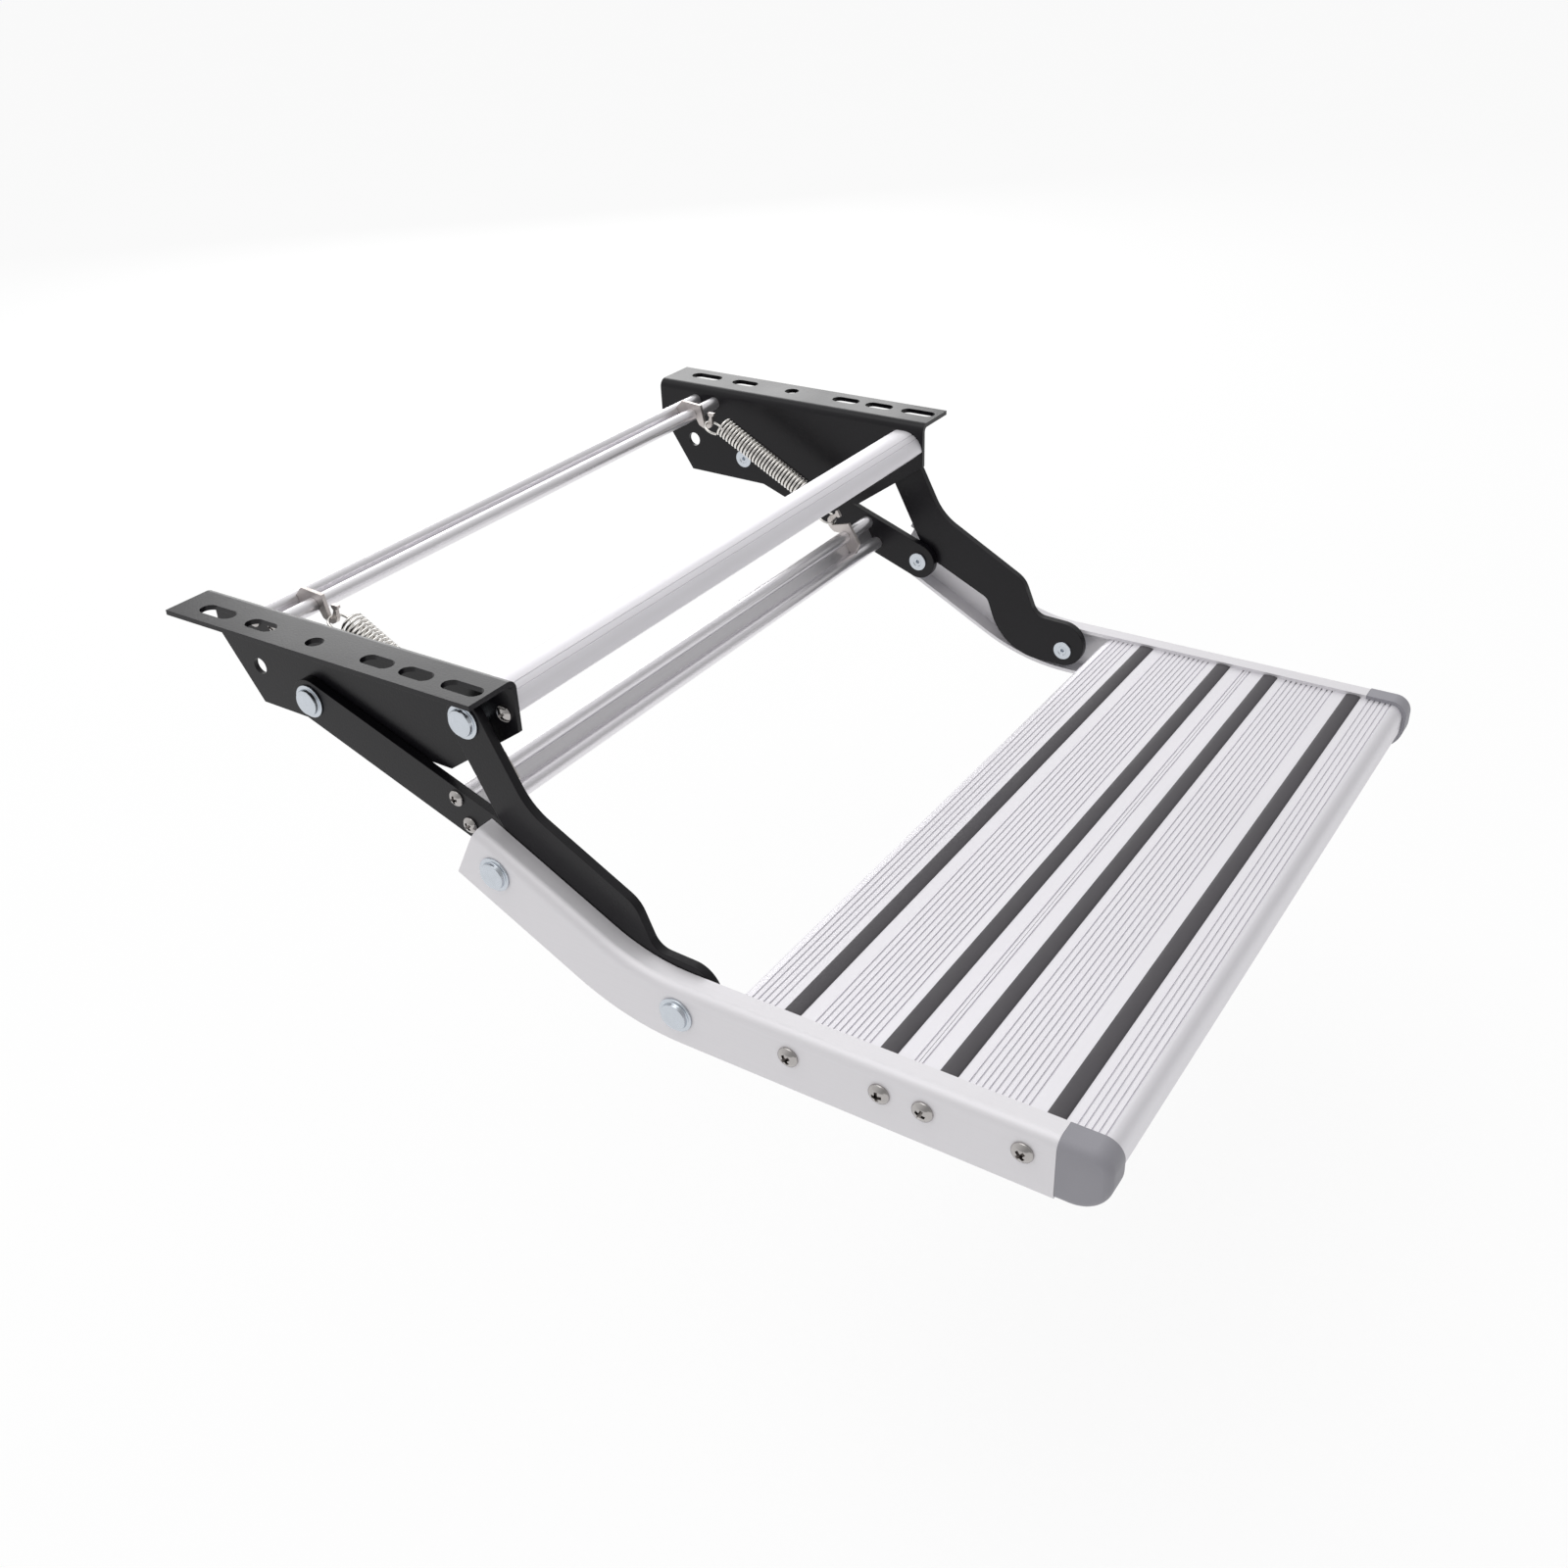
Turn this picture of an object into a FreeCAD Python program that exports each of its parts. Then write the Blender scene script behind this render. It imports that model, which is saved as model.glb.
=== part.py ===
import FreeCAD, Part
import math
import os

# Fold-away entry step for a caravan. All lengths are millimetres, all angles degrees.
# X runs across the step, -Y points out from the doorway towards the tread, +Z is up.
# The origin lies on the tops of the two mounting flanges, midway between the two round
# locating holes.
doc = FreeCAD.newDocument("entry_step")
sheet = doc.addObject("Spreadsheet::Sheet", "Sizes")

SIZES = {
    # mounting brackets, bent from steel plate
    "web_gap_half": 215.0,
    "plate": 3.0,
    "flange_reach": 35.0,
    "flange_rear": 106.0,
    "flange_front": 123.0,
    "bend_inner_radius": 3.0,
    "web_rear_edge": 27.0,
    "web_rear_corner": 80.0,
    "web_rear_depth": 67.0,
    "web_front_corner": 68.7,
    "web_front_depth": 69.0,
    "web_nose_depth": 31.0,
    "fixing_hole_radius": 5.15,
    "fixing_row_inset": 13.0,
    "long_slot": 26.0,
    "short_slot": 21.5,
    "slot_rear_offset": 77.2,
    "slot_second_offset": 42.0,
    "slot_third_offset": 47.0,
    "slot_fourth_offset": 75.0,
    "slot_front_offset": 106.9,
    "cable_hole_radius": 5.1,
    "cable_hole_back": 77.0,
    "cable_hole_drop": 42.7,
    # the four pivots of the linkage, as places in the side view
    "rear_pivot_y": 30.9,
    "rear_pivot_z": -50.5,
    "front_pivot_y": -96.3,
    "front_pivot_z": -25.7,
    "heel_pivot_y": -118.2,
    "heel_pivot_z": -105.3,
    "knee_pivot_y": -233.7,
    "knee_pivot_z": -152.5,
    # stack of flat plates at each side, from the web outwards
    "link_plate": 5.5,
    "pivot_washer": 0.5,
    "link_gap": 0.4,
    "running_clearance": 0.06,
    "seat_clearance": 0.1,
    # rear links
    "rear_link_width": 26.0,
    # front links, shaped by corners given from their own pivots
    "front_link_top_width": 25.0,
    "front_link_end_radius": 16.4,
    "front_link_end_back": 1.0,
    "front_link_end_rise": 4.4,
    "elbow_front": 36.7,
    "elbow_drop": 43.4,
    "elbow_radius": 39.0,
    "crotch_front": 25.4,
    "crotch_drop": 76.0,
    "knee_back": 33.5,
    "knee_rise": 47.0,
    "knee_radius": 18.0,
    "neck_back": 23.0,
    "neck_rise": 21.8,
    "neck_radius": 11.0,
    "calf_back": 61.3,
    "calf_rise": 27.2,
    "calf_radius": 8.0,
    "bulge_back": 47.0,
    "bulge_radius": 41.0,
    "upper_slope": 62.5,
    # rivets
    "rivet_radius": 5.0,
    "rivet_flange_radius": 10.0,
    "rivet_flange": 1.2,
    "rivet_head_radius": 7.6,
    "rivet_head": 2.3,
    "rivet_tail_radius": 6.8,
    "rivet_tail": 1.3,
    "bush_radius": 8.0,
    "bush_relief": 0.5,
    # arms, extruded aluminium channel
    "arm_height": 36.4,
    "arm_heel_drop": 3.2,
    "arm_knee_drop": 1.7,
    "arm_lip": 15.0,
    "arm_wall": 2.5,
    "arm_slope": 27.8,
    "arm_heel_margin": 21.0,
    "arm_front_end": 445.3,
    "arm_bend_radius": 105.0,
    "arm_top_edge_radius": 6.0,
    "arm_bottom_edge_radius": 2.0,
    # end caps, moulded
    "cap_front": 472.3,
    "cap_gap": 0.15,
    "cap_top_radius": 10.5,
    "cap_bottom_radius": 20.0,
    "cap_outer_radius": 4.5,
    # tread, two alike extruded planks back to back
    "plank_joint": 365.7,
    "plank_joint_gap": 0.3,
    "plank_depth": 104.0,
    "plank_height": 20.0,
    "plank_wall": 1.9,
    "plank_nose_radius": 8.0,
    "plank_hem_radius": 3.0,
    "plank_end_gap": 0.3,
    "port_near_offset": 11.8,
    "port_far_offset": 63.4,
    "port_boss_radius": 4.6,
    "port_over_knee": 2.2,
    "port_radius": 2.3,
    "joint_groove": 2.1,
    "strip_near_offset": 16.3,
    "strip_far_offset": 71.6,
    "strip_width": 9.7,
    "strip_seat": 3.0,
    "strip_rise": 1.2,
    "strip_edge_radius": 0.9,
    "groove_width": 1.0,
    "groove_depth": 0.9,
    "groove_pitch": 3.43,
    "inner_groove_offset": 27.0,
    "inner_groove_count": 10,
    "outer_groove_offset": 82.0,
    "outer_groove_count": 5,
    # rear and lower cross-bars, one extrusion with two round lobes
    "lobe_radius": 4.6,
    "lobe_spacing": 16.8,
    "lobe_port_radius": 2.1,
    "bar_floor": 2.2,
    "bar_rib": 1.4,
    "bar_rib_height": 2.4,
    "rear_bar_y": 64.5,
    "rear_bar_z": -11.3,
    "lower_bar_y": -79.1,
    "lower_bar_z": -90.1,
    "lower_bar_tilt": 62.8,
    # front cross-bar
    "front_bar_inset": 0.4,
    "front_bar_depth": 24.1,
    "front_bar_top": 6.5,
    "front_bar_height": 19.5,
    "front_bar_port_inset": 8.0,
    "front_bar_port_rise": 4.2,
    "front_bar_chin_depth": 7.6,
    "front_bar_chin_height": 6.5,
    "front_bar_front_radius": 15.0,
    "front_bar_line_radius": 0.45,
    "front_bar_back_radius": 4.5,
    "front_bar_edge_radius": 2.5,
    "front_bar_wall": 2.0,
    "front_bar_port_radius": 2.2,
    # pan head screws
    "small_head_radius": 5.0,
    "small_head_height": 3.0,
    "small_shank_radius": 2.1,
    "large_head_radius": 5.8,
    "large_head_height": 3.4,
    "large_shank_radius": 2.3,
    "head_chamfer": 1.6,
    "screw_reach": 12.0,
    # spring clips and springs
    "clip_inset": 28.0,
    "clip_plate": 2.5,
    "clip_clearance": 0.12,
    "clip_tail_reach": 7.8,
    "clip_tail_rise": 0.9,
    "clip_crown": 8.0,
    "clip_crown_fall": 1.3,
    "clip_shoulder": 16.7,
    "clip_belly": 1.6,
    "hook_seat_reach": 21.0,
    "hook_seat_drop": 4.5,
    "hook_mouth_radius": 1.6,
    "hook_wall": 4.4,
    "hook_head_rise": 8.2,
    "hook_head_thickness": 1.7,
    "spring_wire": 1.8,
    "spring_radius": 7.7,
    "spring_coils": 34,
    "spring_length": 95.0,
    "spring_loop_radius": 6.8,
}

for row, (alias, number) in enumerate(SIZES.items(), start=1):
    sheet.set("A%d" % row, alias)
    sheet.set("B%d" % row, str(number))
    sheet.setAlias("B%d" % row, alias)
doc.recompute()


class Size:
    """A size worked out from the sheet: its number now and the formula that gives it."""

    def __init__(self, number, formula=None):
        self.number = float(number)
        self.formula = formula if formula is not None else "(%r)" % float(number)

    @staticmethod
    def of(other):
        return other if isinstance(other, Size) else Size(other)

    def joined(self, other, sign, number):
        return Size(number, "(%s %s %s)" % (self.formula, sign, other.formula))

    def __add__(self, other):
        other = Size.of(other)
        return self.joined(other, "+", self.number + other.number)

    def __sub__(self, other):
        other = Size.of(other)
        return self.joined(other, "-", self.number - other.number)

    def __mul__(self, other):
        other = Size.of(other)
        return self.joined(other, "*", self.number * other.number)

    def __truediv__(self, other):
        other = Size.of(other)
        return self.joined(other, "/", self.number / other.number)

    def __neg__(self):
        return Size(-self.number, "(0 - %s)" % self.formula)

    __radd__ = __add__

    def __rmul__(self, other):
        return self * other

    def __rsub__(self, other):
        return Size.of(other) - self

    def sine(self):
        return Size(math.sin(math.radians(self.number)), "sin(%s * 1 deg)" % self.formula)

    def cosine(self):
        return Size(math.cos(math.radians(self.number)), "cos(%s * 1 deg)" % self.formula)

    def tangent(self):
        return Size(math.tan(math.radians(self.number)), "tan(%s * 1 deg)" % self.formula)


class Sizes:
    """Reads any alias of the sheet as a Size."""

    def __getattr__(self, alias):
        return Size(sheet.get(alias), "Sizes.%s" % alias)


size = Sizes()
LEFT = -1
RIGHT = 1
SIDES = (("left", LEFT), ("right", RIGHT))
REACH = 1000.0


# Helpers for bodies, sketches and features

def new_body(label):
    body = doc.addObject("PartDesign::Body", label)
    body.Label = label
    return body


def plane(body, role):
    return next(item for item in body.Origin.OriginFeatures if item.Role == role)


def new_sketch(body, role, name, offset=None):
    sketch = body.newObject("Sketcher::SketchObject", name)
    sketch.AttachmentSupport = [(plane(body, role), "")]
    sketch.MapMode = "FlatFace"
    if offset is not None:
        offset = Size.of(offset)
        sketch.AttachmentOffset = FreeCAD.Placement(
            FreeCAD.Vector(0, 0, offset.number), FreeCAD.Rotation())
        sketch.setExpression("AttachmentOffset.Base.z", offset.formula)
    return sketch


def pin_point(sketch, geometry, point, across, up):
    for kind, value in (("DistanceX", across), ("DistanceY", up)):
        index = sketch.addConstraint(
            sketcher_constraint(kind, geometry, point, value.number))
        sketch.setExpression("Constraints[%d]" % index, value.formula)


def sketcher_constraint(*values):
    import Sketcher
    return Sketcher.Constraint(*values)


def polygon(sketch, corners):
    """Closed outline of straight lines; each corner is held by two sizes."""
    corners = [(Size.of(across), Size.of(up)) for across, up in corners]
    first = None
    for index, (across, up) in enumerate(corners):
        next_across, next_up = corners[(index + 1) % len(corners)]
        line = sketch.addGeometry(Part.LineSegment(
            FreeCAD.Vector(across.number, up.number, 0),
            FreeCAD.Vector(next_across.number, next_up.number, 0)))
        if first is None:
            first = line
        else:
            sketch.addConstraint(sketcher_constraint("Coincident", line - 1, 2, line, 1))
        pin_point(sketch, line, 1, across, up)
    sketch.addConstraint(sketcher_constraint("Coincident", line, 2, first, 1))


def bent_outline(sketch, corners, bends):
    """Closed outline; bends maps a corner's index to the radius and centre of its arc."""
    corners = [(Size.of(across), Size.of(up)) for across, up in corners]
    count = len(corners)
    pieces = []
    for index, (across, up) in enumerate(corners):
        here = FreeCAD.Vector(across.number, up.number, 0)
        there = FreeCAD.Vector(*[item.number for item in corners[(index + 1) % count]], 0)
        if index in bends:
            radius, centre = bends[index]
            middle = FreeCAD.Vector(centre[0].number, centre[1].number, 0)
            from_here, from_there = here - middle, there - middle
            turns_back = from_here.cross(from_there).z < 0
            if turns_back:
                from_here, from_there = from_there, from_here
            ring = Part.Circle(middle, FreeCAD.Vector(0, 0, 1), radius.number)
            piece = sketch.addGeometry(Part.ArcOfCircle(
                ring, math.atan2(from_here.y, from_here.x),
                math.atan2(from_there.y, from_there.x)))
            pieces.append((piece, 2 if turns_back else 1, 1 if turns_back else 2))
            held = sketch.addConstraint(sketcher_constraint("Radius", piece, radius.number))
            sketch.setExpression("Constraints[%d]" % held, radius.formula)
        else:
            pieces.append((sketch.addGeometry(Part.LineSegment(here, there)), 1, 2))
    for index, (piece, start, end) in enumerate(pieces):
        follower, follower_start, follower_end = pieces[(index + 1) % count]
        sketch.addConstraint(sketcher_constraint(
            "Coincident", piece, end, follower, follower_start))
        if index not in bends:
            pin_point(sketch, piece, start, *corners[index])
        elif (index - 1) % count in bends:
            raise RuntimeError("two bends in a row")
        else:
            pin_point(sketch, pieces[index - 1][0], pieces[index - 1][2], *corners[index])


def rectangle(sketch, left, bottom, right, top):
    polygon(sketch, [(left, bottom), (right, bottom), (right, top), (left, top)])


def circle(sketch, across, up, radius):
    across, up, radius = Size.of(across), Size.of(up), Size.of(radius)
    ring = sketch.addGeometry(Part.Circle(
        FreeCAD.Vector(across.number, up.number, 0), FreeCAD.Vector(0, 0, 1), radius.number))
    index = sketch.addConstraint(sketcher_constraint("Radius", ring, radius.number))
    sketch.setExpression("Constraints[%d]" % index, radius.formula)
    pin_point(sketch, ring, 3, across, up)


def pad(body, sketch, length, name):
    feature = body.newObject("PartDesign::Pad", name)
    feature.Profile = sketch
    length = Size.of(length)
    feature.Length = length.number
    feature.setExpression("Length", length.formula)
    doc.recompute()
    return feature


def pocket(body, sketch, length, name, reverse=False):
    """Cuts along +X, +Z or -Y of the sketch's plane, or the other way with reverse."""
    before = body.Shape.Volume
    feature = body.newObject("PartDesign::Pocket", name)
    feature.Profile = sketch
    length = Size.of(length)
    feature.Length = length.number
    feature.setExpression("Length", length.formula)
    feature.Reversed = not reverse
    doc.recompute()
    if body.Shape.Volume >= before:
        raise RuntimeError("%s cuts nothing from %s" % (name, body.Label))
    return feature


def revolution(body, sketch, axis, name):
    feature = body.newObject("PartDesign::Revolution", name)
    feature.Profile = sketch
    feature.ReferenceAxis = (sketch, [axis])
    feature.Angle = 360
    doc.recompute()
    return feature


def edges_across(shape, places, axis=0, tolerance=0.01):
    """Names of the straight edges along an axis that pass through the given places."""
    others = [index for index in range(3) if index != axis]
    names = []
    for number, edge in enumerate(shape.Edges, start=1):
        if not isinstance(edge.Curve, Part.Line):
            continue
        if abs(abs(edge.Curve.Direction[axis]) - 1) > 1e-6:
            continue
        middle = edge.valueAt((edge.FirstParameter + edge.LastParameter) / 2)
        for place in places:
            if all(abs(middle[index] - Size.of(value).number) < tolerance
                   for index, value in zip(others, place)):
                names.append("Edge%d" % number)
    return names


def fillet(body, names, radius, name):
    if not names:
        raise RuntimeError("no edge for %s on %s" % (name, body.Label))
    base = body.Tip
    feature = body.newObject("PartDesign::Fillet", name)
    feature.Base = (base, names)
    radius = Size.of(radius)
    feature.Radius = radius.number
    feature.setExpression("Radius", radius.formula)
    doc.recompute()
    return feature


def round_edges(body, places, radius, name, axis=0):
    return fillet(body, edges_across(body.Shape, places, axis), radius, name)


def place_body(body, across=None, out=None, up=None, axis=None, angle=None):
    turn = FreeCAD.Rotation()
    if axis is not None:
        turn = FreeCAD.Rotation(axis, Size.of(angle).number)
    base = [Size.of(value if value is not None else 0.0) for value in (across, out, up)]
    body.Placement = FreeCAD.Placement(FreeCAD.Vector(*[item.number for item in base]), turn)
    for letter, item in zip("xyz", base):
        body.setExpression("Placement.Base.%s" % letter, item.formula)
    if axis is not None:
        body.setExpression("Placement.Rotation.Angle", Size.of(angle).formula)


def group(label, pieces):
    compound = doc.addObject("Part::Compound", label)
    compound.Label = label
    compound.Links = pieces
    return compound


# Places that several pieces share

web_outer = size.web_gap_half + size.plate
rear_link_inner = web_outer + size.pivot_washer
rear_link_outer = rear_link_inner + size.link_plate
front_link_inner = rear_link_outer + size.link_gap
front_link_outer = front_link_inner + size.link_plate
lip_edge = front_link_outer + size.link_gap
clip_plane = size.web_gap_half - size.clip_inset
arm_outer = lip_edge + size.arm_lip
arm_inner = arm_outer - size.arm_wall
flange_outer = size.web_gap_half + size.flange_reach
fixing_row = flange_outer - size.fixing_row_inset
arm_level = size.knee_pivot_z - size.arm_knee_drop
arm_top = arm_level + size.arm_height / 2
arm_bottom = arm_level - size.arm_height / 2
port_level = size.knee_pivot_z + size.port_over_knee
tread_top = arm_top - size.arm_wall
REAR_PIVOT = (size.rear_pivot_y, size.rear_pivot_z)
FRONT_PIVOT = (size.front_pivot_y, size.front_pivot_z)
HEEL_PIVOT = (size.heel_pivot_y, size.heel_pivot_z)
KNEE_PIVOT = (size.knee_pivot_y, size.knee_pivot_z)
link_bore = size.rivet_radius + size.running_clearance


def start_of(side, inner, outer):
    """Where a plate between two distances from the middle starts, seen along +X."""
    return inner if side == RIGHT else -outer


# Mounting brackets

def make_bracket(name, side):
    body = new_body(name + "_bracket")
    inner = size.web_gap_half * side
    outer = web_outer * side
    tip = flange_outer * side
    deepest = -(size.web_front_depth + size.plate)
    section = new_sketch(body, "XZ_Plane", name + "_angle_section", size.flange_front)
    polygon(section, [(inner, deepest), (inner, 0), (tip, 0), (tip, -size.plate),
                      (outer, -size.plate), (outer, deepest)])
    angle_bar = body.newObject("PartDesign::Pad", name + "_angle_bar")
    angle_bar.Profile = section
    length = size.flange_front + size.flange_rear
    angle_bar.Length = length.number
    angle_bar.setExpression("Length", length.formula)
    angle_bar.Reversed = True
    doc.recompute()
    round_edges(body, [(outer, -size.plate)], size.bend_inner_radius, name + "_bend_inside", 1)
    round_edges(body, [(inner, 0)], size.bend_inner_radius + size.plate,
                name + "_bend_outside", 1)
    start = start_of(side, 0, flange_outer)
    trim = new_sketch(body, "YZ_Plane", name + "_web_trim", start)
    margin = size.plate * 2
    below = deepest - margin
    polygon(trim, [
        (size.flange_rear + margin, -size.web_rear_edge),
        (size.flange_rear, -size.web_rear_edge),
        (size.web_rear_corner, -size.web_rear_depth),
        (-size.web_front_corner, -size.web_front_depth),
        (-size.flange_front, -size.web_nose_depth),
        (-size.flange_front - margin, -size.web_nose_depth),
        (-size.flange_front - margin, below),
        (size.flange_rear + margin, below)])
    pocket(body, trim, flange_outer, name + "_web_outline")
    bores = new_sketch(body, "YZ_Plane", name + "_web_bores", start)
    circle(bores, *REAR_PIVOT, size.rivet_radius)
    circle(bores, *FRONT_PIVOT, size.rivet_radius)
    circle(bores, size.cable_hole_back, -size.cable_hole_drop, size.cable_hole_radius)
    for lobe in (-1, 1):
        circle(bores, size.rear_bar_y + size.lobe_spacing / 2 * lobe, size.rear_bar_z,
               size.small_shank_radius)
    circle(bores, front_port_y, front_port_z, size.small_shank_radius)
    pocket(body, bores, flange_outer, name + "_web_holes")
    round_holes = new_sketch(body, "XY_Plane", name + "_hole_rounds", -size.plate * 2)
    slot_sides = new_sketch(body, "XY_Plane", name + "_slot_middles", -size.plate * 2)
    row = fixing_row * side
    circle(round_holes, row, 0, size.fixing_hole_radius)
    for centre, slot in ((size.slot_rear_offset, size.long_slot), (size.slot_second_offset, size.short_slot),
                         (-size.slot_third_offset, size.short_slot),
                         (-size.slot_fourth_offset, size.short_slot),
                         (-size.slot_front_offset, size.long_slot)):
        reach = slot / 2 - size.fixing_hole_radius
        circle(round_holes, row, centre - reach, size.fixing_hole_radius)
        circle(round_holes, row, centre + reach, size.fixing_hole_radius)
        rectangle(slot_sides, row - size.fixing_hole_radius, centre - reach,
                  row + size.fixing_hole_radius, centre + reach)
    pocket(body, round_holes, size.plate * 3, name + "_fixing_holes")
    pocket(body, slot_sides, size.plate * 3, name + "_fixing_slots")
    return body


# Cross-bars

front_bar_front = -(size.flange_front - size.front_bar_inset)
front_port_y = front_bar_front + size.front_bar_port_inset
front_port_z = -(size.front_bar_top + size.front_bar_height - size.front_bar_port_rise)


def clip_belly_line():
    """Underside of a spring clip where it lies in the bar, from its tail to its hook."""
    return [(-size.clip_tail_reach, size.clip_tail_rise),
            (-size.clip_belly, -size.clip_belly),
            (size.lobe_spacing / 2 + size.lobe_radius * 0.9, -size.clip_belly * 1.4)]


def make_lobed_bar(label, half_length, out, up, tilt, way):
    """Extruded bar with two round lobes; its own frame has the opening facing +Z."""
    body = new_body(label)
    lobes = new_sketch(body, "YZ_Plane", label + "_lobe_section", -half_length)
    for lobe in (-1, 1):
        circle(lobes, size.lobe_spacing / 2 * lobe, 0, size.lobe_radius)
    pad(body, lobes, half_length * 2, label + "_lobes")
    floor = new_sketch(body, "YZ_Plane", label + "_floor_section", -half_length)
    underside = -(size.lobe_radius * 0.85)
    topside = underside + size.bar_floor
    rib_right = -(size.lobe_spacing / 2 - size.lobe_radius)
    polygon(floor, [
        (-size.lobe_spacing / 2, underside), (size.lobe_spacing / 2, underside),
        (size.lobe_spacing / 2, topside), (rib_right, topside),
        (rib_right, topside + size.bar_rib_height),
        (rib_right - size.bar_rib, topside + size.bar_rib_height),
        (rib_right - size.bar_rib, topside), (-size.lobe_spacing / 2, topside)])
    pad(body, floor, half_length * 2, label + "_floor")
    ports = new_sketch(body, "YZ_Plane", label + "_port_section", -half_length)
    for lobe in (-1, 1):
        circle(ports, size.lobe_spacing / 2 * lobe, 0, size.lobe_port_radius)
    pocket(body, ports, half_length * 2, label + "_screw_ports")
    slack = size.clip_clearance
    saw = size.clip_plate + slack * 2
    far = size.lobe_spacing / 2 + size.lobe_radius + size.plate
    high = size.clip_crown
    line = clip_belly_line()
    tail = -(size.clip_tail_reach + slack * 2)
    floor_line = ([(tail, line[0][1])]
                  + [(along, rise - slack) for along, rise in line[1:]]
                  + [(far, line[-1][1] - slack), (far, high),
                     (-(size.clip_crown_fall + slack * 2), high)])
    for name, side in SIDES:
        cut = new_sketch(body, "YZ_Plane", label + "_" + name + "_cut_outline",
                         clip_plane * side - saw / 2)
        polygon(cut, [(along * way, rise) for along, rise in floor_line])
        pocket(body, cut, saw, label + "_" + name + "_clip_slot")
    place_body(body, 0, out, up, FreeCAD.Vector(1, 0, 0), tilt)
    return body


def make_front_crossbar():
    body = new_body("front_crossbar")
    half_length = size.web_gap_half
    back = front_bar_front + size.front_bar_depth
    top = -size.front_bar_top
    bottom = top - size.front_bar_height
    section = new_sketch(body, "YZ_Plane", "front_bar_section", -half_length)
    rectangle(section, front_bar_front, bottom, back, top)
    pad(body, section, half_length * 2, "front_bar_block")
    round_edges(body, [(front_bar_front, top)], size.front_bar_front_radius, "front_bar_brow")
    round_edges(body, [(back, top)], size.front_bar_back_radius, "front_bar_back_edge")
    round_edges(body, [(back, bottom)], size.front_bar_edge_radius, "front_bar_lower_edge")
    depth = size.front_bar_chin_depth
    height = size.front_bar_chin_height
    chin = new_sketch(body, "YZ_Plane", "front_bar_chin_section", -half_length)
    polygon(chin, [(front_bar_front + depth * 1.3, bottom - height * 0.3),
                   (front_bar_front - depth * 0.3, bottom + height * 1.3),
                   (front_bar_front - depth * 0.3, bottom - height * 0.3)])
    pocket(body, chin, half_length * 2, "front_bar_chin")
    radius = size.front_bar_front_radius

    def brow(angle, inset):
        """Point under the brow's arc at an angle from the vertical, set in by a wall."""
        turn = Size(angle)
        return (front_bar_front + radius - turn.sine() * (radius - inset),
                top - radius + turn.cosine() * (radius - inset))

    lines = new_sketch(body, "YZ_Plane", "front_bar_line_section", -half_length)
    for angle in (28, 44):
        circle(lines, *brow(angle, 0), size.front_bar_line_radius)
    pocket(body, lines, half_length * 2, "front_bar_lines")
    hollow = new_sketch(body, "YZ_Plane", "front_bar_hollow_section", -half_length)
    wall = size.front_bar_wall
    boss = size.front_bar_port_radius + wall
    roof = brow(22, wall)
    rectangle(hollow, front_port_y + boss, bottom + wall, back - wall, top - wall)
    polygon(hollow, [(roof[0], front_port_z + boss), roof, brow(45, wall), brow(60, wall)])
    circle(hollow, front_port_y, front_port_z, size.front_bar_port_radius)
    pocket(body, hollow, half_length * 2, "front_bar_hollows")
    return body


# Links

def make_rear_link(name, side):
    body = new_body(name + "_rear_link")
    start = start_of(side, rear_link_inner, rear_link_outer)
    half = size.rear_link_width / 2
    run_y = HEEL_PIVOT[0] - REAR_PIVOT[0]
    run_z = HEEL_PIVOT[1] - REAR_PIVOT[1]
    length = Size(math.hypot(run_y.number, run_z.number),
                  "hypot(%s; %s)" % (run_y.formula, run_z.formula))
    side_y = run_z / length * half
    side_z = run_y / length * half
    blank = new_sketch(body, "YZ_Plane", name + "_rear_link_blank", start)
    polygon(blank, [(REAR_PIVOT[0] - side_y, REAR_PIVOT[1] + side_z),
                    (HEEL_PIVOT[0] - side_y, HEEL_PIVOT[1] + side_z),
                    (HEEL_PIVOT[0] + side_y, HEEL_PIVOT[1] - side_z),
                    (REAR_PIVOT[0] + side_y, REAR_PIVOT[1] - side_z)])
    pad(body, blank, size.link_plate, name + "_rear_link_bar")
    for label, pivot in (("rear", REAR_PIVOT), ("heel", HEEL_PIVOT)):
        end = new_sketch(body, "YZ_Plane", "%s_rear_link_%s_round" % (name, label), start)
        circle(end, *pivot, half)
        pad(body, end, size.link_plate, "%s_rear_link_%s_end" % (name, label))
    bores = new_sketch(body, "YZ_Plane", name + "_rear_link_bores", start)
    circle(bores, *REAR_PIVOT, link_bore)
    circle(bores, *HEEL_PIVOT, link_bore)
    for lobe in (-1, 1):
        reach = size.lobe_spacing / 2 * lobe
        circle(bores, size.lower_bar_y + size.lower_bar_tilt.cosine() * reach,
               size.lower_bar_z + size.lower_bar_tilt.sine() * reach,
               size.small_shank_radius)
    pocket(body, bores, size.link_plate, name + "_rear_link_holes")
    return body


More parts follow.
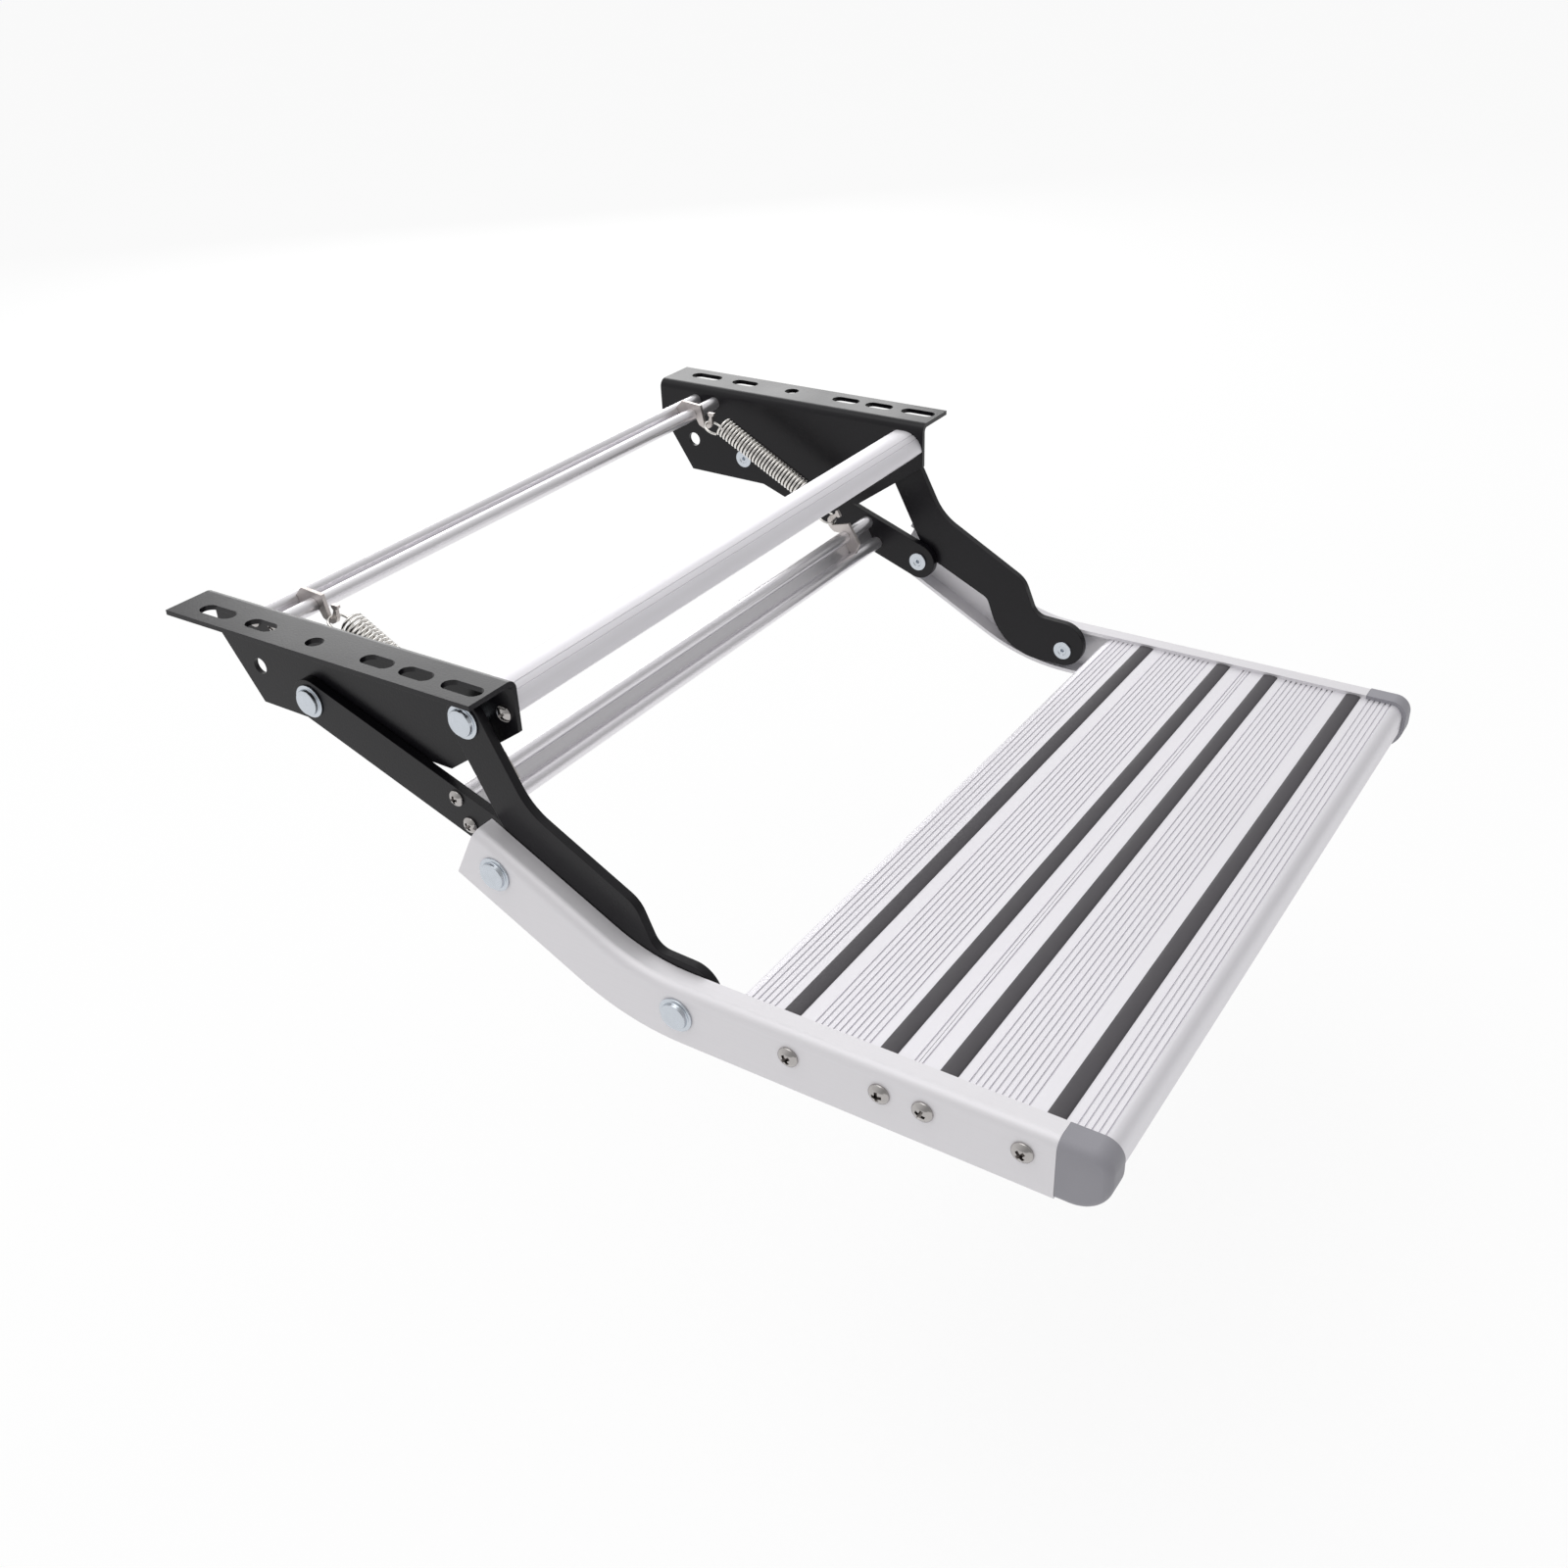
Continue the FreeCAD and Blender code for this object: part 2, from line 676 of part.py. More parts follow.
def make_front_link(name, side):
    """Cranked flat link; a round notch in its back edge stops it against the heel bush."""
    body = new_body(name + "_front_link")
    start = start_of(side, front_link_inner, front_link_outer)
    half = size.front_link_top_width / 2
    top_y, top_z = FRONT_PIVOT
    pivot_y, pivot_z = KNEE_PIVOT
    end_y = pivot_y + size.front_link_end_back
    end_z = pivot_z + size.front_link_end_rise
    brow = (top_y - size.elbow_front, top_z - size.elbow_drop)
    crotch = (top_y - size.crotch_front, top_z - size.crotch_drop)
    knee = (pivot_y + size.knee_back, pivot_z + size.knee_rise)
    neck = (pivot_y + size.neck_back, pivot_z + size.neck_rise)
    bulge = (pivot_y + size.bulge_back, end_z - size.front_link_end_radius)
    calf = (pivot_y + size.calf_back, pivot_z + size.calf_rise)
    across_y = size.upper_slope.sine() * half
    across_z = size.upper_slope.cosine() * half
    blank = new_sketch(body, "YZ_Plane", name + "_front_link_blank", start)
    polygon(blank, [(top_y - across_y, top_z + across_z), brow, knee, neck,
                    (end_y, end_z + size.front_link_end_radius),
                    (end_y, end_z - size.front_link_end_radius), bulge, calf, crotch,
                    (top_y + across_y, top_z - across_z)])
    pad(body, blank, size.link_plate, name + "_front_link_plate")
    for label, place, radius in (("brow", brow, size.elbow_radius),
                                 ("knee", knee, size.knee_radius),
                                 ("neck", neck, size.neck_radius),
                                 ("bulge", bulge, size.bulge_radius),
                                 ("calf", calf, size.calf_radius)):
        round_edges(body, [place], radius, "%s_front_link_%s" % (name, label))
    for label, pivot, radius in (("top", FRONT_PIVOT, half),
                                 ("knee_end", (end_y, end_z), size.front_link_end_radius)):
        end = new_sketch(body, "YZ_Plane", "%s_front_link_%s_round" % (name, label), start)
        circle(end, *pivot, radius)
        pad(body, end, size.link_plate, "%s_front_link_%s_boss" % (name, label))
    notch = new_sketch(body, "YZ_Plane", name + "_front_link_stop", start)
    circle(notch, *HEEL_PIVOT, size.bush_radius + size.bush_relief)
    pocket(body, notch, size.link_plate, name + "_front_link_notch")
    bores = new_sketch(body, "YZ_Plane", name + "_front_link_bores", start)
    circle(bores, *FRONT_PIVOT, link_bore)
    circle(bores, *KNEE_PIVOT, size.rivet_radius)
    pocket(body, bores, size.link_plate, name + "_front_link_holes")
    return body


# Rivets, bushes and washers, turned about X

def make_turned(label, side, pivot, profile):
    """Turned piece; profile lists (distance from the middle, radius) corners."""
    body = new_body(label)
    sketch = new_sketch(body, "XY_Plane", label + "_half_section")
    polygon(sketch, profile)
    revolution(body, sketch, "H_Axis", label + "_turning")
    turn = 0 if side == RIGHT else 180
    place_body(body, 0, pivot[0], pivot[1], FreeCAD.Vector(0, 0, 1), turn)
    return body


def head_profile(seat):
    """Corners of a stepped rivet head that sits on a face at the given distance."""
    flange_top = seat + size.rivet_flange
    return [(flange_top + size.rivet_head, 0),
            (flange_top + size.rivet_head, size.rivet_head_radius),
            (flange_top, size.rivet_head_radius),
            (flange_top, size.rivet_flange_radius),
            (seat, size.rivet_flange_radius),
            (seat, size.rivet_radius)]


def tail_profile(face):
    """Corners of the clinched tail on the inner side of a face."""
    return [(face, size.rivet_radius), (face, size.rivet_tail_radius),
            (face - size.rivet_tail, size.rivet_tail_radius),
            (face - size.rivet_tail, 0)]


def flush_tail(face):
    """Corners of a tail that is dressed flush with the inner side of a face."""
    return [(face, size.rivet_radius), (face, 0)]


def make_rivets(label, pivot, seat, tail):
    pieces = [make_turned(name + "_" + label[:-1], side, pivot, head_profile(seat) + tail)
              for name, side in SIDES]
    return group(label, pieces)


def make_rings(label, pivot, inner, outer, radius):
    pieces = [make_turned(name + "_" + label[:-1], side, pivot,
                          [(inner, size.rivet_radius), (inner, radius), (outer, radius),
                           (outer, size.rivet_radius)])
              for name, side in SIDES]
    return group(label, pieces)


# Arms, caps and tread

def arm_outline(inset, heel_run, front_run):
    """Side outline of an arm, set in by a wall, with the radius and centre of its bend."""
    half = size.arm_height / 2 - inset
    slope = size.arm_slope
    middle_y = HEEL_PIVOT[0] + slope.sine() * size.arm_heel_drop
    middle_z = HEEL_PIVOT[1] - slope.cosine() * size.arm_heel_drop
    bend_y = middle_y - (middle_z - arm_level) / slope.tangent()
    middle_radius = size.arm_bend_radius + size.arm_height / 2
    tangent = middle_radius * (slope / 2).tangent()
    centre = (bend_y - tangent, arm_level + middle_radius)
    heel_y = middle_y + slope.cosine() * heel_run
    heel_z = middle_z + slope.sine() * heel_run
    front = -(size.arm_front_end + front_run)

    def around(radius):
        return (centre[0] + slope.sine() * radius, centre[1] - slope.cosine() * radius)

    upper = middle_radius - half
    lower = middle_radius + half
    corners = [(heel_y - slope.sine() * half, heel_z + slope.cosine() * half),
               around(upper),
               (centre[0], centre[1] - upper),
               (front, centre[1] - upper),
               (front, centre[1] - lower),
               (centre[0], centre[1] - lower),
               around(lower),
               (heel_y + slope.sine() * half, heel_z - slope.cosine() * half)]
    return corners, {1: (upper, centre), 5: (lower, centre)}


def long_edges(shape, upper):
    """Edges of the outer face that follow the arm's upper or lower outline."""
    names = []
    slope = math.radians(size.arm_slope.number)
    for number, edge in enumerate(shape.Edges, start=1):
        ends = [edge.valueAt(edge.FirstParameter), edge.valueAt(edge.LastParameter)]
        if any(abs(abs(end.x) - arm_outer.number) > 1e-4 for end in ends):
            continue
        middle = edge.valueAt((edge.FirstParameter + edge.LastParameter) / 2)
        if middle.y < -size.arm_front_end.number + 1e-3:
            continue
        sloping = (HEEL_PIVOT[1].number
                   + (middle.y - HEEL_PIVOT[0].number) * math.tan(slope))
        offset = middle.z - max(sloping, KNEE_PIVOT[1].number)
        if abs(offset) < size.arm_height.number / 4:
            continue
        if (offset > 0) == upper:
            names.append("Edge%d" % number)
    return names


def make_arm(name, side):
    body = new_body(name + "_arm")
    start = start_of(side, lip_edge, arm_outer)
    blank = new_sketch(body, "YZ_Plane", name + "_arm_outline", start)
    corners, bends = arm_outline(Size(0), size.arm_heel_margin, Size(0))
    bent_outline(blank, corners, bends)
    pad(body, blank, size.arm_lip, name + "_arm_block")
    fillet(body, long_edges(body.Shape, True), size.arm_top_edge_radius,
           name + "_arm_top_edge")
    fillet(body, long_edges(body.Shape, False), size.arm_bottom_edge_radius,
           name + "_arm_bottom_edge")
    hollow_start = start_of(side, lip_edge - size.arm_wall, arm_inner)
    hollow = new_sketch(body, "YZ_Plane", name + "_arm_hollow_outline", hollow_start)
    corners, bends = arm_outline(size.arm_wall, size.arm_heel_margin * 2,
                                 size.arm_heel_margin)
    bent_outline(hollow, corners, bends)
    pocket(body, hollow, size.arm_lip, name + "_arm_hollow")
    wall_start = start_of(side, arm_inner - size.arm_wall, arm_outer)
    bores = new_sketch(body, "YZ_Plane", name + "_arm_bores", wall_start)
    circle(bores, *HEEL_PIVOT, size.rivet_radius)
    circle(bores, *KNEE_PIVOT, size.rivet_radius)
    for out in screw_row:
        circle(bores, out, port_level, size.large_shank_radius)
    pocket(body, bores, size.arm_wall * 2, name + "_arm_holes")
    return body


def make_end_cap(name, side):
    body = new_body(name + "_end_cap")
    start = start_of(side, lip_edge, arm_outer)
    back = -(size.arm_front_end + size.cap_gap)
    front = -size.cap_front
    blank = new_sketch(body, "YZ_Plane", name + "_cap_outline", start)
    rectangle(blank, front, arm_bottom, back, arm_top)
    pad(body, blank, size.arm_lip, name + "_cap_block")
    round_edges(body, [(front, arm_top)], size.cap_top_radius, name + "_cap_brow")
    round_edges(body, [(front, arm_bottom)], size.cap_bottom_radius, name + "_cap_chin")
    outer_edges = []
    for number, edge in enumerate(body.Shape.Edges, start=1):
        middle = edge.valueAt((edge.FirstParameter + edge.LastParameter) / 2)
        if abs(abs(middle.x) - arm_outer.number) > 1e-4:
            continue
        if abs(middle.y - back.number) < 1e-4:
            continue
        outer_edges.append("Edge%d" % number)
    fillet(body, outer_edges, size.cap_outer_radius, name + "_cap_shoulder")
    hollow_start = start_of(side, lip_edge, arm_inner)
    hollow = new_sketch(body, "YZ_Plane", name + "_cap_hollow_outline", hollow_start)
    clear = size.cap_gap
    nose = -(size.plank_joint + size.plank_depth + clear)
    deep = back + size.plate
    low = tread_top - size.plank_height - clear
    round_top = size.plank_nose_radius
    round_low = size.plank_hem_radius
    bent_outline(hollow, [(deep, tread_top), (nose + round_top, tread_top),
                          (nose, tread_top - round_top), (nose, low + round_low),
                          (nose + round_low, low), (deep, low)],
                 {1: (round_top, (nose + round_top, tread_top - round_top)),
                  3: (round_low, (nose + round_low, low + round_low))})
    pocket(body, hollow, size.arm_lip - size.arm_wall, name + "_cap_hollow")
    return body


screw_row = [-(size.plank_joint + offset * way)
             for way in (-1, 1) for offset in (size.port_near_offset, size.port_far_offset)]


def make_plank(label, way):
    """One tread plank; way is 1 for the outer plank and -1 for the inner one."""
    body = new_body(label)
    half_length = arm_inner - size.plank_end_gap
    joint = -size.plank_joint
    bottom = tread_top - size.plank_height
    wall = size.plank_wall

    def out(distance):
        return joint - Size.of(distance) * way

    inner_face = out(size.plank_joint_gap / 2)
    nose = out(size.plank_depth)
    section = new_sketch(body, "YZ_Plane", label + "_section", -half_length)
    rectangle(section, inner_face, bottom, nose, tread_top)
    pad(body, section, half_length * 2, label + "_block")
    round_edges(body, [(nose, tread_top)], size.plank_nose_radius, label + "_nose")
    round_edges(body, [(nose, bottom)], size.plank_hem_radius, label + "_hem")
    cells = new_sketch(body, "YZ_Plane", label + "_cell_section", -half_length)
    ceiling = tread_top - size.strip_seat - wall
    boss = size.port_boss_radius
    ribs = [size.plank_joint_gap / 2 + wall, size.port_near_offset - boss,
            size.port_near_offset + boss, (size.port_near_offset + size.port_far_offset) / 2 - wall / 2,
            (size.port_near_offset + size.port_far_offset) / 2 + wall / 2, size.port_far_offset - boss,
            size.port_far_offset + boss, size.plank_depth - size.plank_nose_radius - wall / 2,
            size.plank_depth - size.plank_nose_radius + wall / 2, size.plank_depth - wall]
    for near, far in zip(ribs[2:-2:2], ribs[3:-2:2]):
        rectangle(cells, out(near), bottom + wall, out(far), ceiling)
    rectangle(cells, out(ribs[0]), bottom + wall, out(ribs[1]), ceiling)
    rectangle(cells, out(ribs[8]), bottom + size.plank_hem_radius, out(ribs[9]),
              tread_top - size.plank_nose_radius)
    for offset in (size.port_near_offset, size.port_far_offset):
        circle(cells, out(offset), port_level, size.port_radius)
    pocket(body, cells, half_length * 2, label + "_cells")
    grooves = new_sketch(body, "YZ_Plane", label + "_groove_section", -half_length)
    half = size.groove_width / 2
    places = [size.joint_groove]
    for first, count in ((size.inner_groove_offset, size.inner_groove_count),
                         (size.outer_groove_offset, size.outer_groove_count)):
        places += [first + size.groove_pitch * index for index in range(int(count.number))]
    for place in places:
        rectangle(grooves, out(place - half), tread_top - size.groove_depth,
                  out(place + half), tread_top + size.groove_depth)
    for place in (size.strip_near_offset, size.strip_far_offset):
        rectangle(grooves, out(place - size.strip_width / 2), tread_top - size.strip_seat,
                  out(place + size.strip_width / 2), tread_top + size.groove_depth)
    pocket(body, grooves, half_length * 2, label + "_grooves")
    return body


def make_grip_strip(label, way, centre):
    body = new_body(label)
    half_length = lip_edge - size.cap_gap
    middle = -size.plank_joint - centre * way
    half = size.strip_width / 2
    top = tread_top + size.strip_rise
    section = new_sketch(body, "YZ_Plane", label + "_section", -half_length)
    rectangle(section, middle - half, tread_top - size.strip_seat, middle + half, top)
    pad(body, section, half_length * 2, label + "_bar")
    round_edges(body, [(middle - half, top), (middle + half, top)],
                size.strip_edge_radius, label + "_crown")
    return body


# Screws

def make_screw(label, side, out, up, seat, head_radius, head_height, shank_radius):
    tip = seat - size.screw_reach
    crown = seat + head_height
    return make_turned(label, side, (out, up), [
        (tip, 0), (tip, shank_radius), (seat, shank_radius), (seat, head_radius),
        (crown - size.head_chamfer, head_radius),
        (crown, head_radius - size.head_chamfer), (crown, 0)])


def make_screws(label, places, seat, head_radius, head_height, shank_radius):
    pieces = []
    for name, side in SIDES:
        for number, (out, up) in enumerate(places, start=1):
            pieces.append(make_screw("%s_%s_%d" % (name, label[:-1], number), side, out, up,
                                     seat, head_radius, head_height, shank_radius))
    return group(label, pieces)


# Spring clips and springs

def make_clip(label, side, bar_y, bar_z, tilt, way):
    """Flat hook plate that drops into the bar's saw cuts; way points its leg along the bar."""
    body = new_body(label)
    start = clip_plane * side - size.clip_plate / 2
    seat = size.hook_seat_reach
    drop = -size.hook_seat_drop
    mouth = size.hook_mouth_radius
    wall = size.hook_wall
    neck = seat + wall * 1.3
    crown = size.clip_crown
    thick = size.hook_head_thickness
    head = drop + size.hook_head_rise
    cap = neck - thick * 2
    outline = clip_belly_line() + [
        (seat - wall * 1.4, drop - wall / 2), (seat - wall * 0.6, drop - wall * 0.9),
        (seat + wall / 4, drop - wall), (seat + wall, drop - wall * 0.6), (neck, drop),
        (neck, head - thick * 1.6), (neck + thick, head - thick), (neck + thick, head),
        (cap, head), (cap, head - thick), (cap + thick * 0.8, head - thick * 1.9),
        (seat + mouth, drop), (seat - mouth, drop),
        (size.clip_shoulder, crown), (0, crown + size.clip_crown_fall)]
    sketch = new_sketch(body, "YZ_Plane", label + "_outline", start)
    polygon(sketch, [(along * way, rise) for along, rise in outline])
    pad(body, sketch, size.clip_plate, label + "_plate")
    eye = new_sketch(body, "YZ_Plane", label + "_seat_outline", start)
    circle(eye, seat * way, drop, mouth)
    pocket(body, eye, size.clip_plate, label + "_seat")
    place_body(body, 0, bar_y, bar_z, FreeCAD.Vector(1, 0, 0), tilt)
    return body


def hook_place(bar_y, bar_z, tilt, way):
    """Where the spring's loop sits in the hook of a clip on the given bar."""
    along = size.hook_seat_reach * way
    up = -size.hook_seat_drop
    return (bar_y + tilt.cosine() * along - tilt.sine() * up,
            bar_z + tilt.sine() * along + tilt.cosine() * up)


def make_spring(name, side):
    """Spring as a ribbed sleeve, one rib a coil; its end loops leave from the coils' lower side."""
    start = hook_place(size.rear_bar_y, size.rear_bar_z, Size(0), -1)
    end = hook_place(size.lower_bar_y, size.lower_bar_z, size.lower_bar_tilt, 1)
    across = end[0].number - start[0].number
    rise = end[1].number - start[1].number
    span = math.hypot(across, rise)
    angle = math.degrees(math.atan2(rise, across))
    wire = size.spring_wire.number
    outer = size.spring_radius.number
    coils = int(size.spring_coils.number)
    length = size.spring_length.number
    pitch = length / coils
    loop = size.spring_loop_radius.number
    first = (span - length) / 2
    mean = outer - wire / 2
    corners = [FreeCAD.Vector(0, first, outer - wire)]
    for coil in range(coils):
        corners.append(FreeCAD.Vector(0, first + coil * pitch, outer - wire / 2))
        corners.append(FreeCAD.Vector(0, first + (coil + 0.5) * pitch, outer))
    corners.append(FreeCAD.Vector(0, first + length, outer - wire / 2))
    corners.append(FreeCAD.Vector(0, first + length, outer - wire))
    section = Part.Face(Part.makePolygon(corners + [corners[0]]))
    sleeve = section.revolve(FreeCAD.Vector(0, 0, 0), FreeCAD.Vector(0, 1, 0), 360)
    sleeve.translate(FreeCAD.Vector(0, 0, mean))
    ring = Part.makeTorus(loop, wire / 2, FreeCAD.Vector(0, loop, 0), FreeCAD.Vector(0, 0, 1))
    stem = Part.makeCylinder(wire * 0.4, first + wire - loop * 2,
                             FreeCAD.Vector(0, loop * 2, 0), FreeCAD.Vector(0, 1, 0))
    hook = ring.fuse(stem)
    middle = FreeCAD.Vector(0, span / 2, 0)
    far_hook = hook.copy()
    far_hook.rotate(middle, FreeCAD.Vector(0, 0, 1), 180)
    spring = doc.addObject("Part::Feature", name + "_spring")
    spring.Label = name + "_spring"
    spring.Shape = sleeve.fuse([hook, far_hook])
    spring.Placement = FreeCAD.Placement(
        FreeCAD.Vector(clip_plane.number * side, start[0].number, start[1].number),
        FreeCAD.Rotation(FreeCAD.Vector(1, 0, 0), angle))
    return spring


# The whole step

nodes = []
for name, side in SIDES:
    nodes.append(make_bracket(name, side))
nodes.append(make_lobed_bar("rear_crossbar", size.web_gap_half, size.rear_bar_y,
                            size.rear_bar_z, Size(0), -1))
nodes.append(make_front_crossbar())
nodes.append(make_lobed_bar("lower_crossbar", rear_link_inner, size.lower_bar_y,
                            size.lower_bar_z, size.lower_bar_tilt, 1))
for name, side in SIDES:
    nodes.append(make_rear_link(name, side))
    nodes.append(make_front_link(name, side))
    nodes.append(make_arm(name, side))
    nodes.append(make_end_cap(name, side))
    nodes.append(make_clip(name + "_rear_clip", side, size.rear_bar_y, size.rear_bar_z,
                           Size(0), -1))
    nodes.append(make_clip(name + "_lower_clip", side, size.lower_bar_y, size.lower_bar_z,
                           size.lower_bar_tilt, 1))
    nodes.append(make_spring(name, side))
nodes.append(make_plank("inner_tread_plank", -1))
nodes.append(make_plank("outer_tread_plank", 1))
for number, (way, centre) in enumerate(((-1, size.strip_far_offset), (-1, size.strip_near_offset),
                                        (1, size.strip_near_offset), (1, size.strip_far_offset)),
                                       start=1):
    nodes.append(make_grip_strip("grip_strip_%d" % number, way, centre))

nodes.append(make_rivets("rear_pivot_rivets", REAR_PIVOT,
                         rear_link_outer + size.seat_clearance,
                         tail_profile(size.web_gap_half)))
nodes.append(make_rings("rear_pivot_washers", REAR_PIVOT, web_outer,
                        rear_link_inner - size.seat_clearance, size.rivet_flange_radius))
nodes.append(make_rivets("front_pivot_rivets", FRONT_PIVOT,
                         front_link_outer + size.seat_clearance,
                         flush_tail(size.web_gap_half)))
nodes.append(make_rings("front_pivot_bushes", FRONT_PIVOT, web_outer,
                        front_link_inner - size.seat_clearance, size.bush_radius))
nodes.append(make_rivets("heel_pivot_rivets", HEEL_PIVOT, arm_outer,
                         tail_profile(rear_link_inner - size.seat_clearance)))
nodes.append(make_rings("heel_pivot_bushes", HEEL_PIVOT,
                        rear_link_outer + size.seat_clearance, arm_inner, size.bush_radius))
# The knee pivot is where the closed linkage is parted: head half and tail half are two pieces.
knee_heads = [make_turned(name + "_knee_rivet_head", side, KNEE_PIVOT,
                          head_profile(arm_outer)
                          + [(front_link_outer + size.seat_clearance, size.rivet_radius),
                             (front_link_outer + size.seat_clearance, 0)])
              for name, side in SIDES]
nodes.append(group("knee_rivet_heads", knee_heads))
knee_tails = [make_turned(name + "_knee_rivet_tail", side, KNEE_PIVOT,
                          [(front_link_outer, 0), (front_link_outer, size.rivet_radius)]
                          + tail_profile(front_link_inner))
              for name, side in SIDES]
nodes.append(group("knee_rivet_tails", knee_tails))
nodes.append(make_rings("knee_pivot_bushes", KNEE_PIVOT,
                        front_link_outer + size.seat_clearance, arm_inner, size.bush_radius))

nodes.append(make_screws("rear_bar_screws",
                         [(size.rear_bar_y + size.lobe_spacing / 2 * lobe, size.rear_bar_z)
                          for lobe in (-1, 1)], web_outer, size.small_head_radius,
                         size.small_head_height, size.small_shank_radius))
nodes.append(make_screws("front_bar_screws", [(front_port_y, front_port_z)], web_outer,
                         size.small_head_radius, size.small_head_height,
                         size.small_shank_radius))
nodes.append(make_screws("lower_bar_screws",
                         [(size.lower_bar_y + size.lower_bar_tilt.cosine()
                           * (size.lobe_spacing / 2 * lobe),
                           size.lower_bar_z + size.lower_bar_tilt.sine()
                           * (size.lobe_spacing / 2 * lobe)) for lobe in (-1, 1)],
                         rear_link_outer, size.small_head_radius, size.small_head_height,
                         size.small_shank_radius))
nodes.append(make_screws("tread_screws", [(out, port_level) for out in screw_row],
                         arm_outer, size.large_head_radius, size.large_head_height,
                         size.large_shank_radius))

doc.recompute()
for item in doc.Objects:
    if "Invalid" in item.State or "Error" in item.State:
        raise RuntimeError("%s failed: %s" % (item.Label, item.State))
for node in nodes:
    if node.Shape.isNull() or not node.Shape.isValid():
        raise RuntimeError("%s has no valid shape" % node.Label)

os.makedirs("parts", exist_ok=True)
for node in nodes:
    node.Shape.exportStep(os.path.join("parts", node.Label + ".step"))
print("%d nodes written" % len(nodes))
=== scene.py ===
# %% [markdown]
# A caravan entry step folds down from under the doorway. Two steel brackets bolt to the floor,
# flat links hang from them, and a grooved aluminium tread rides on two cranked arms. The solid
# model gives every piece its size and place. This script dresses those pieces: it adds wire,
# screw heads and rivets that are finer than the solids, and gives every surface a finish.

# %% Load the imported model
import math
import bmesh
import bpy
from mathutils import Matrix, Vector


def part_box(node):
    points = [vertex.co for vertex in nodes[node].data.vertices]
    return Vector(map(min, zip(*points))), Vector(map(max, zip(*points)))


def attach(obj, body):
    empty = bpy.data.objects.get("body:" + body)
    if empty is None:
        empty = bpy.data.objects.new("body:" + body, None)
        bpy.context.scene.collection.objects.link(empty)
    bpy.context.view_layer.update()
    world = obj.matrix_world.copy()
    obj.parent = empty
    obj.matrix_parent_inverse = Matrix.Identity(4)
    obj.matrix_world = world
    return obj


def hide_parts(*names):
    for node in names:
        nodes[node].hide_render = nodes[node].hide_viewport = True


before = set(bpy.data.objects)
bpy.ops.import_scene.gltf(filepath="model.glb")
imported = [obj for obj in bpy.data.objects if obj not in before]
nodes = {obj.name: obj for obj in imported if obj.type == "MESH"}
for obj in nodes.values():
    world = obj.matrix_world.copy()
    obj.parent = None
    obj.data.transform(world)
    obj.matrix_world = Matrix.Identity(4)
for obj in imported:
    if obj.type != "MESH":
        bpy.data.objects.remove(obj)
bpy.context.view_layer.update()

MM = 0.001

# %% [markdown]
# The camera stands in front of the left arm and above it, as the photographer did. The lens is
# 36.9 mm on a 36 mm wide sensor. The place and the three angles came from matching the corners
# of the flanges, the pivots and the ends of the grip strips with the picture.

# %% Camera
camera = bpy.data.objects.new("camera", bpy.data.cameras.new("camera"))
camera.data.sensor_width = 36
camera.data.lens = 36.90
camera.data.clip_start = 0.01
camera.location = (-0.74202, -0.64449, 0.37850)
camera.rotation_euler = [math.radians(angle) for angle in (58.3621, 2.0206, -57.0105)]
bpy.context.scene.collection.objects.link(camera)
bpy.context.scene.camera = camera
bpy.context.scene.view_settings.view_transform = "Standard"
print("camera at", [round(value, 3) for value in camera.location])

# %% [markdown]
# The step hangs in the air in use, with the ground well below it. A wide pale floor stands for
# that ground, so the shadow under the tread is broad and faint. Metal shows what stands round
# it, so an even white world would make it look like paper. The world is therefore brighter
# behind the step than in front of it, while the camera sees it as plain white. A low lamp behind
# gives the flanges their sheen, and a wide one overhead lifts every face that looks up.

# %% Floor, world and lamps
GROUND = -0.46
floor_mesh = bpy.data.meshes.new("floor")
shape = bmesh.new()
bmesh.ops.create_grid(shape, x_segments=1, y_segments=1, size=40)
bmesh.ops.translate(shape, verts=shape.verts, vec=(0, 0, GROUND))
shape.to_mesh(floor_mesh)
shape.free()
floor = bpy.data.objects.new("floor", floor_mesh)
bpy.context.scene.collection.objects.link(floor)

# The way to the world's bright side, and its strength in front, behind and to the camera.
BRIGHT_SIDE = (0.20, 0.90, 0.38)
IN_FRONT, BEHIND, SEEN = 0.45, 0.90, 0.96
world = bpy.data.worlds.new("studio")
world.use_nodes = True
bpy.context.scene.world = world
sky = world.node_tree
sky.nodes.clear()
rays = sky.nodes.new("ShaderNodeLightPath")
seen = sky.nodes.new("ShaderNodeMath")
seen.operation = "MAXIMUM"
sky.links.new(rays.outputs["Is Camera Ray"], seen.inputs[0])
sky.links.new(rays.outputs["Is Transmission Ray"], seen.inputs[1])
heading = sky.nodes.new("ShaderNodeTexCoord")
towards_back = sky.nodes.new("ShaderNodeVectorMath")
towards_back.operation = "DOT_PRODUCT"
towards_back.inputs[1].default_value = BRIGHT_SIDE
sky.links.new(heading.outputs["Generated"], towards_back.inputs[0])
ramp = sky.nodes.new("ShaderNodeMapRange")
ramp.interpolation_type = "SMOOTHSTEP"
for name, value in (("From Min", -0.5), ("From Max", 0.8), ("To Min", IN_FRONT),
                    ("To Max", BEHIND)):
    ramp.inputs[name].default_value = value
sky.links.new(towards_back.outputs["Value"], ramp.inputs["Value"])
level = sky.nodes.new("ShaderNodeMix")
level.inputs["B"].default_value = SEEN
sky.links.new(seen.outputs[0], level.inputs["Factor"])
sky.links.new(ramp.outputs[0], level.inputs["A"])
glow = sky.nodes.new("ShaderNodeBackground")
glow.inputs["Color"].default_value = (1, 1, 1, 1)
sky.links.new(level.outputs[0], glow.inputs["Strength"])
sky_out = sky.nodes.new("ShaderNodeOutputWorld")
sky.links.new(glow.outputs[0], sky_out.inputs["Surface"])


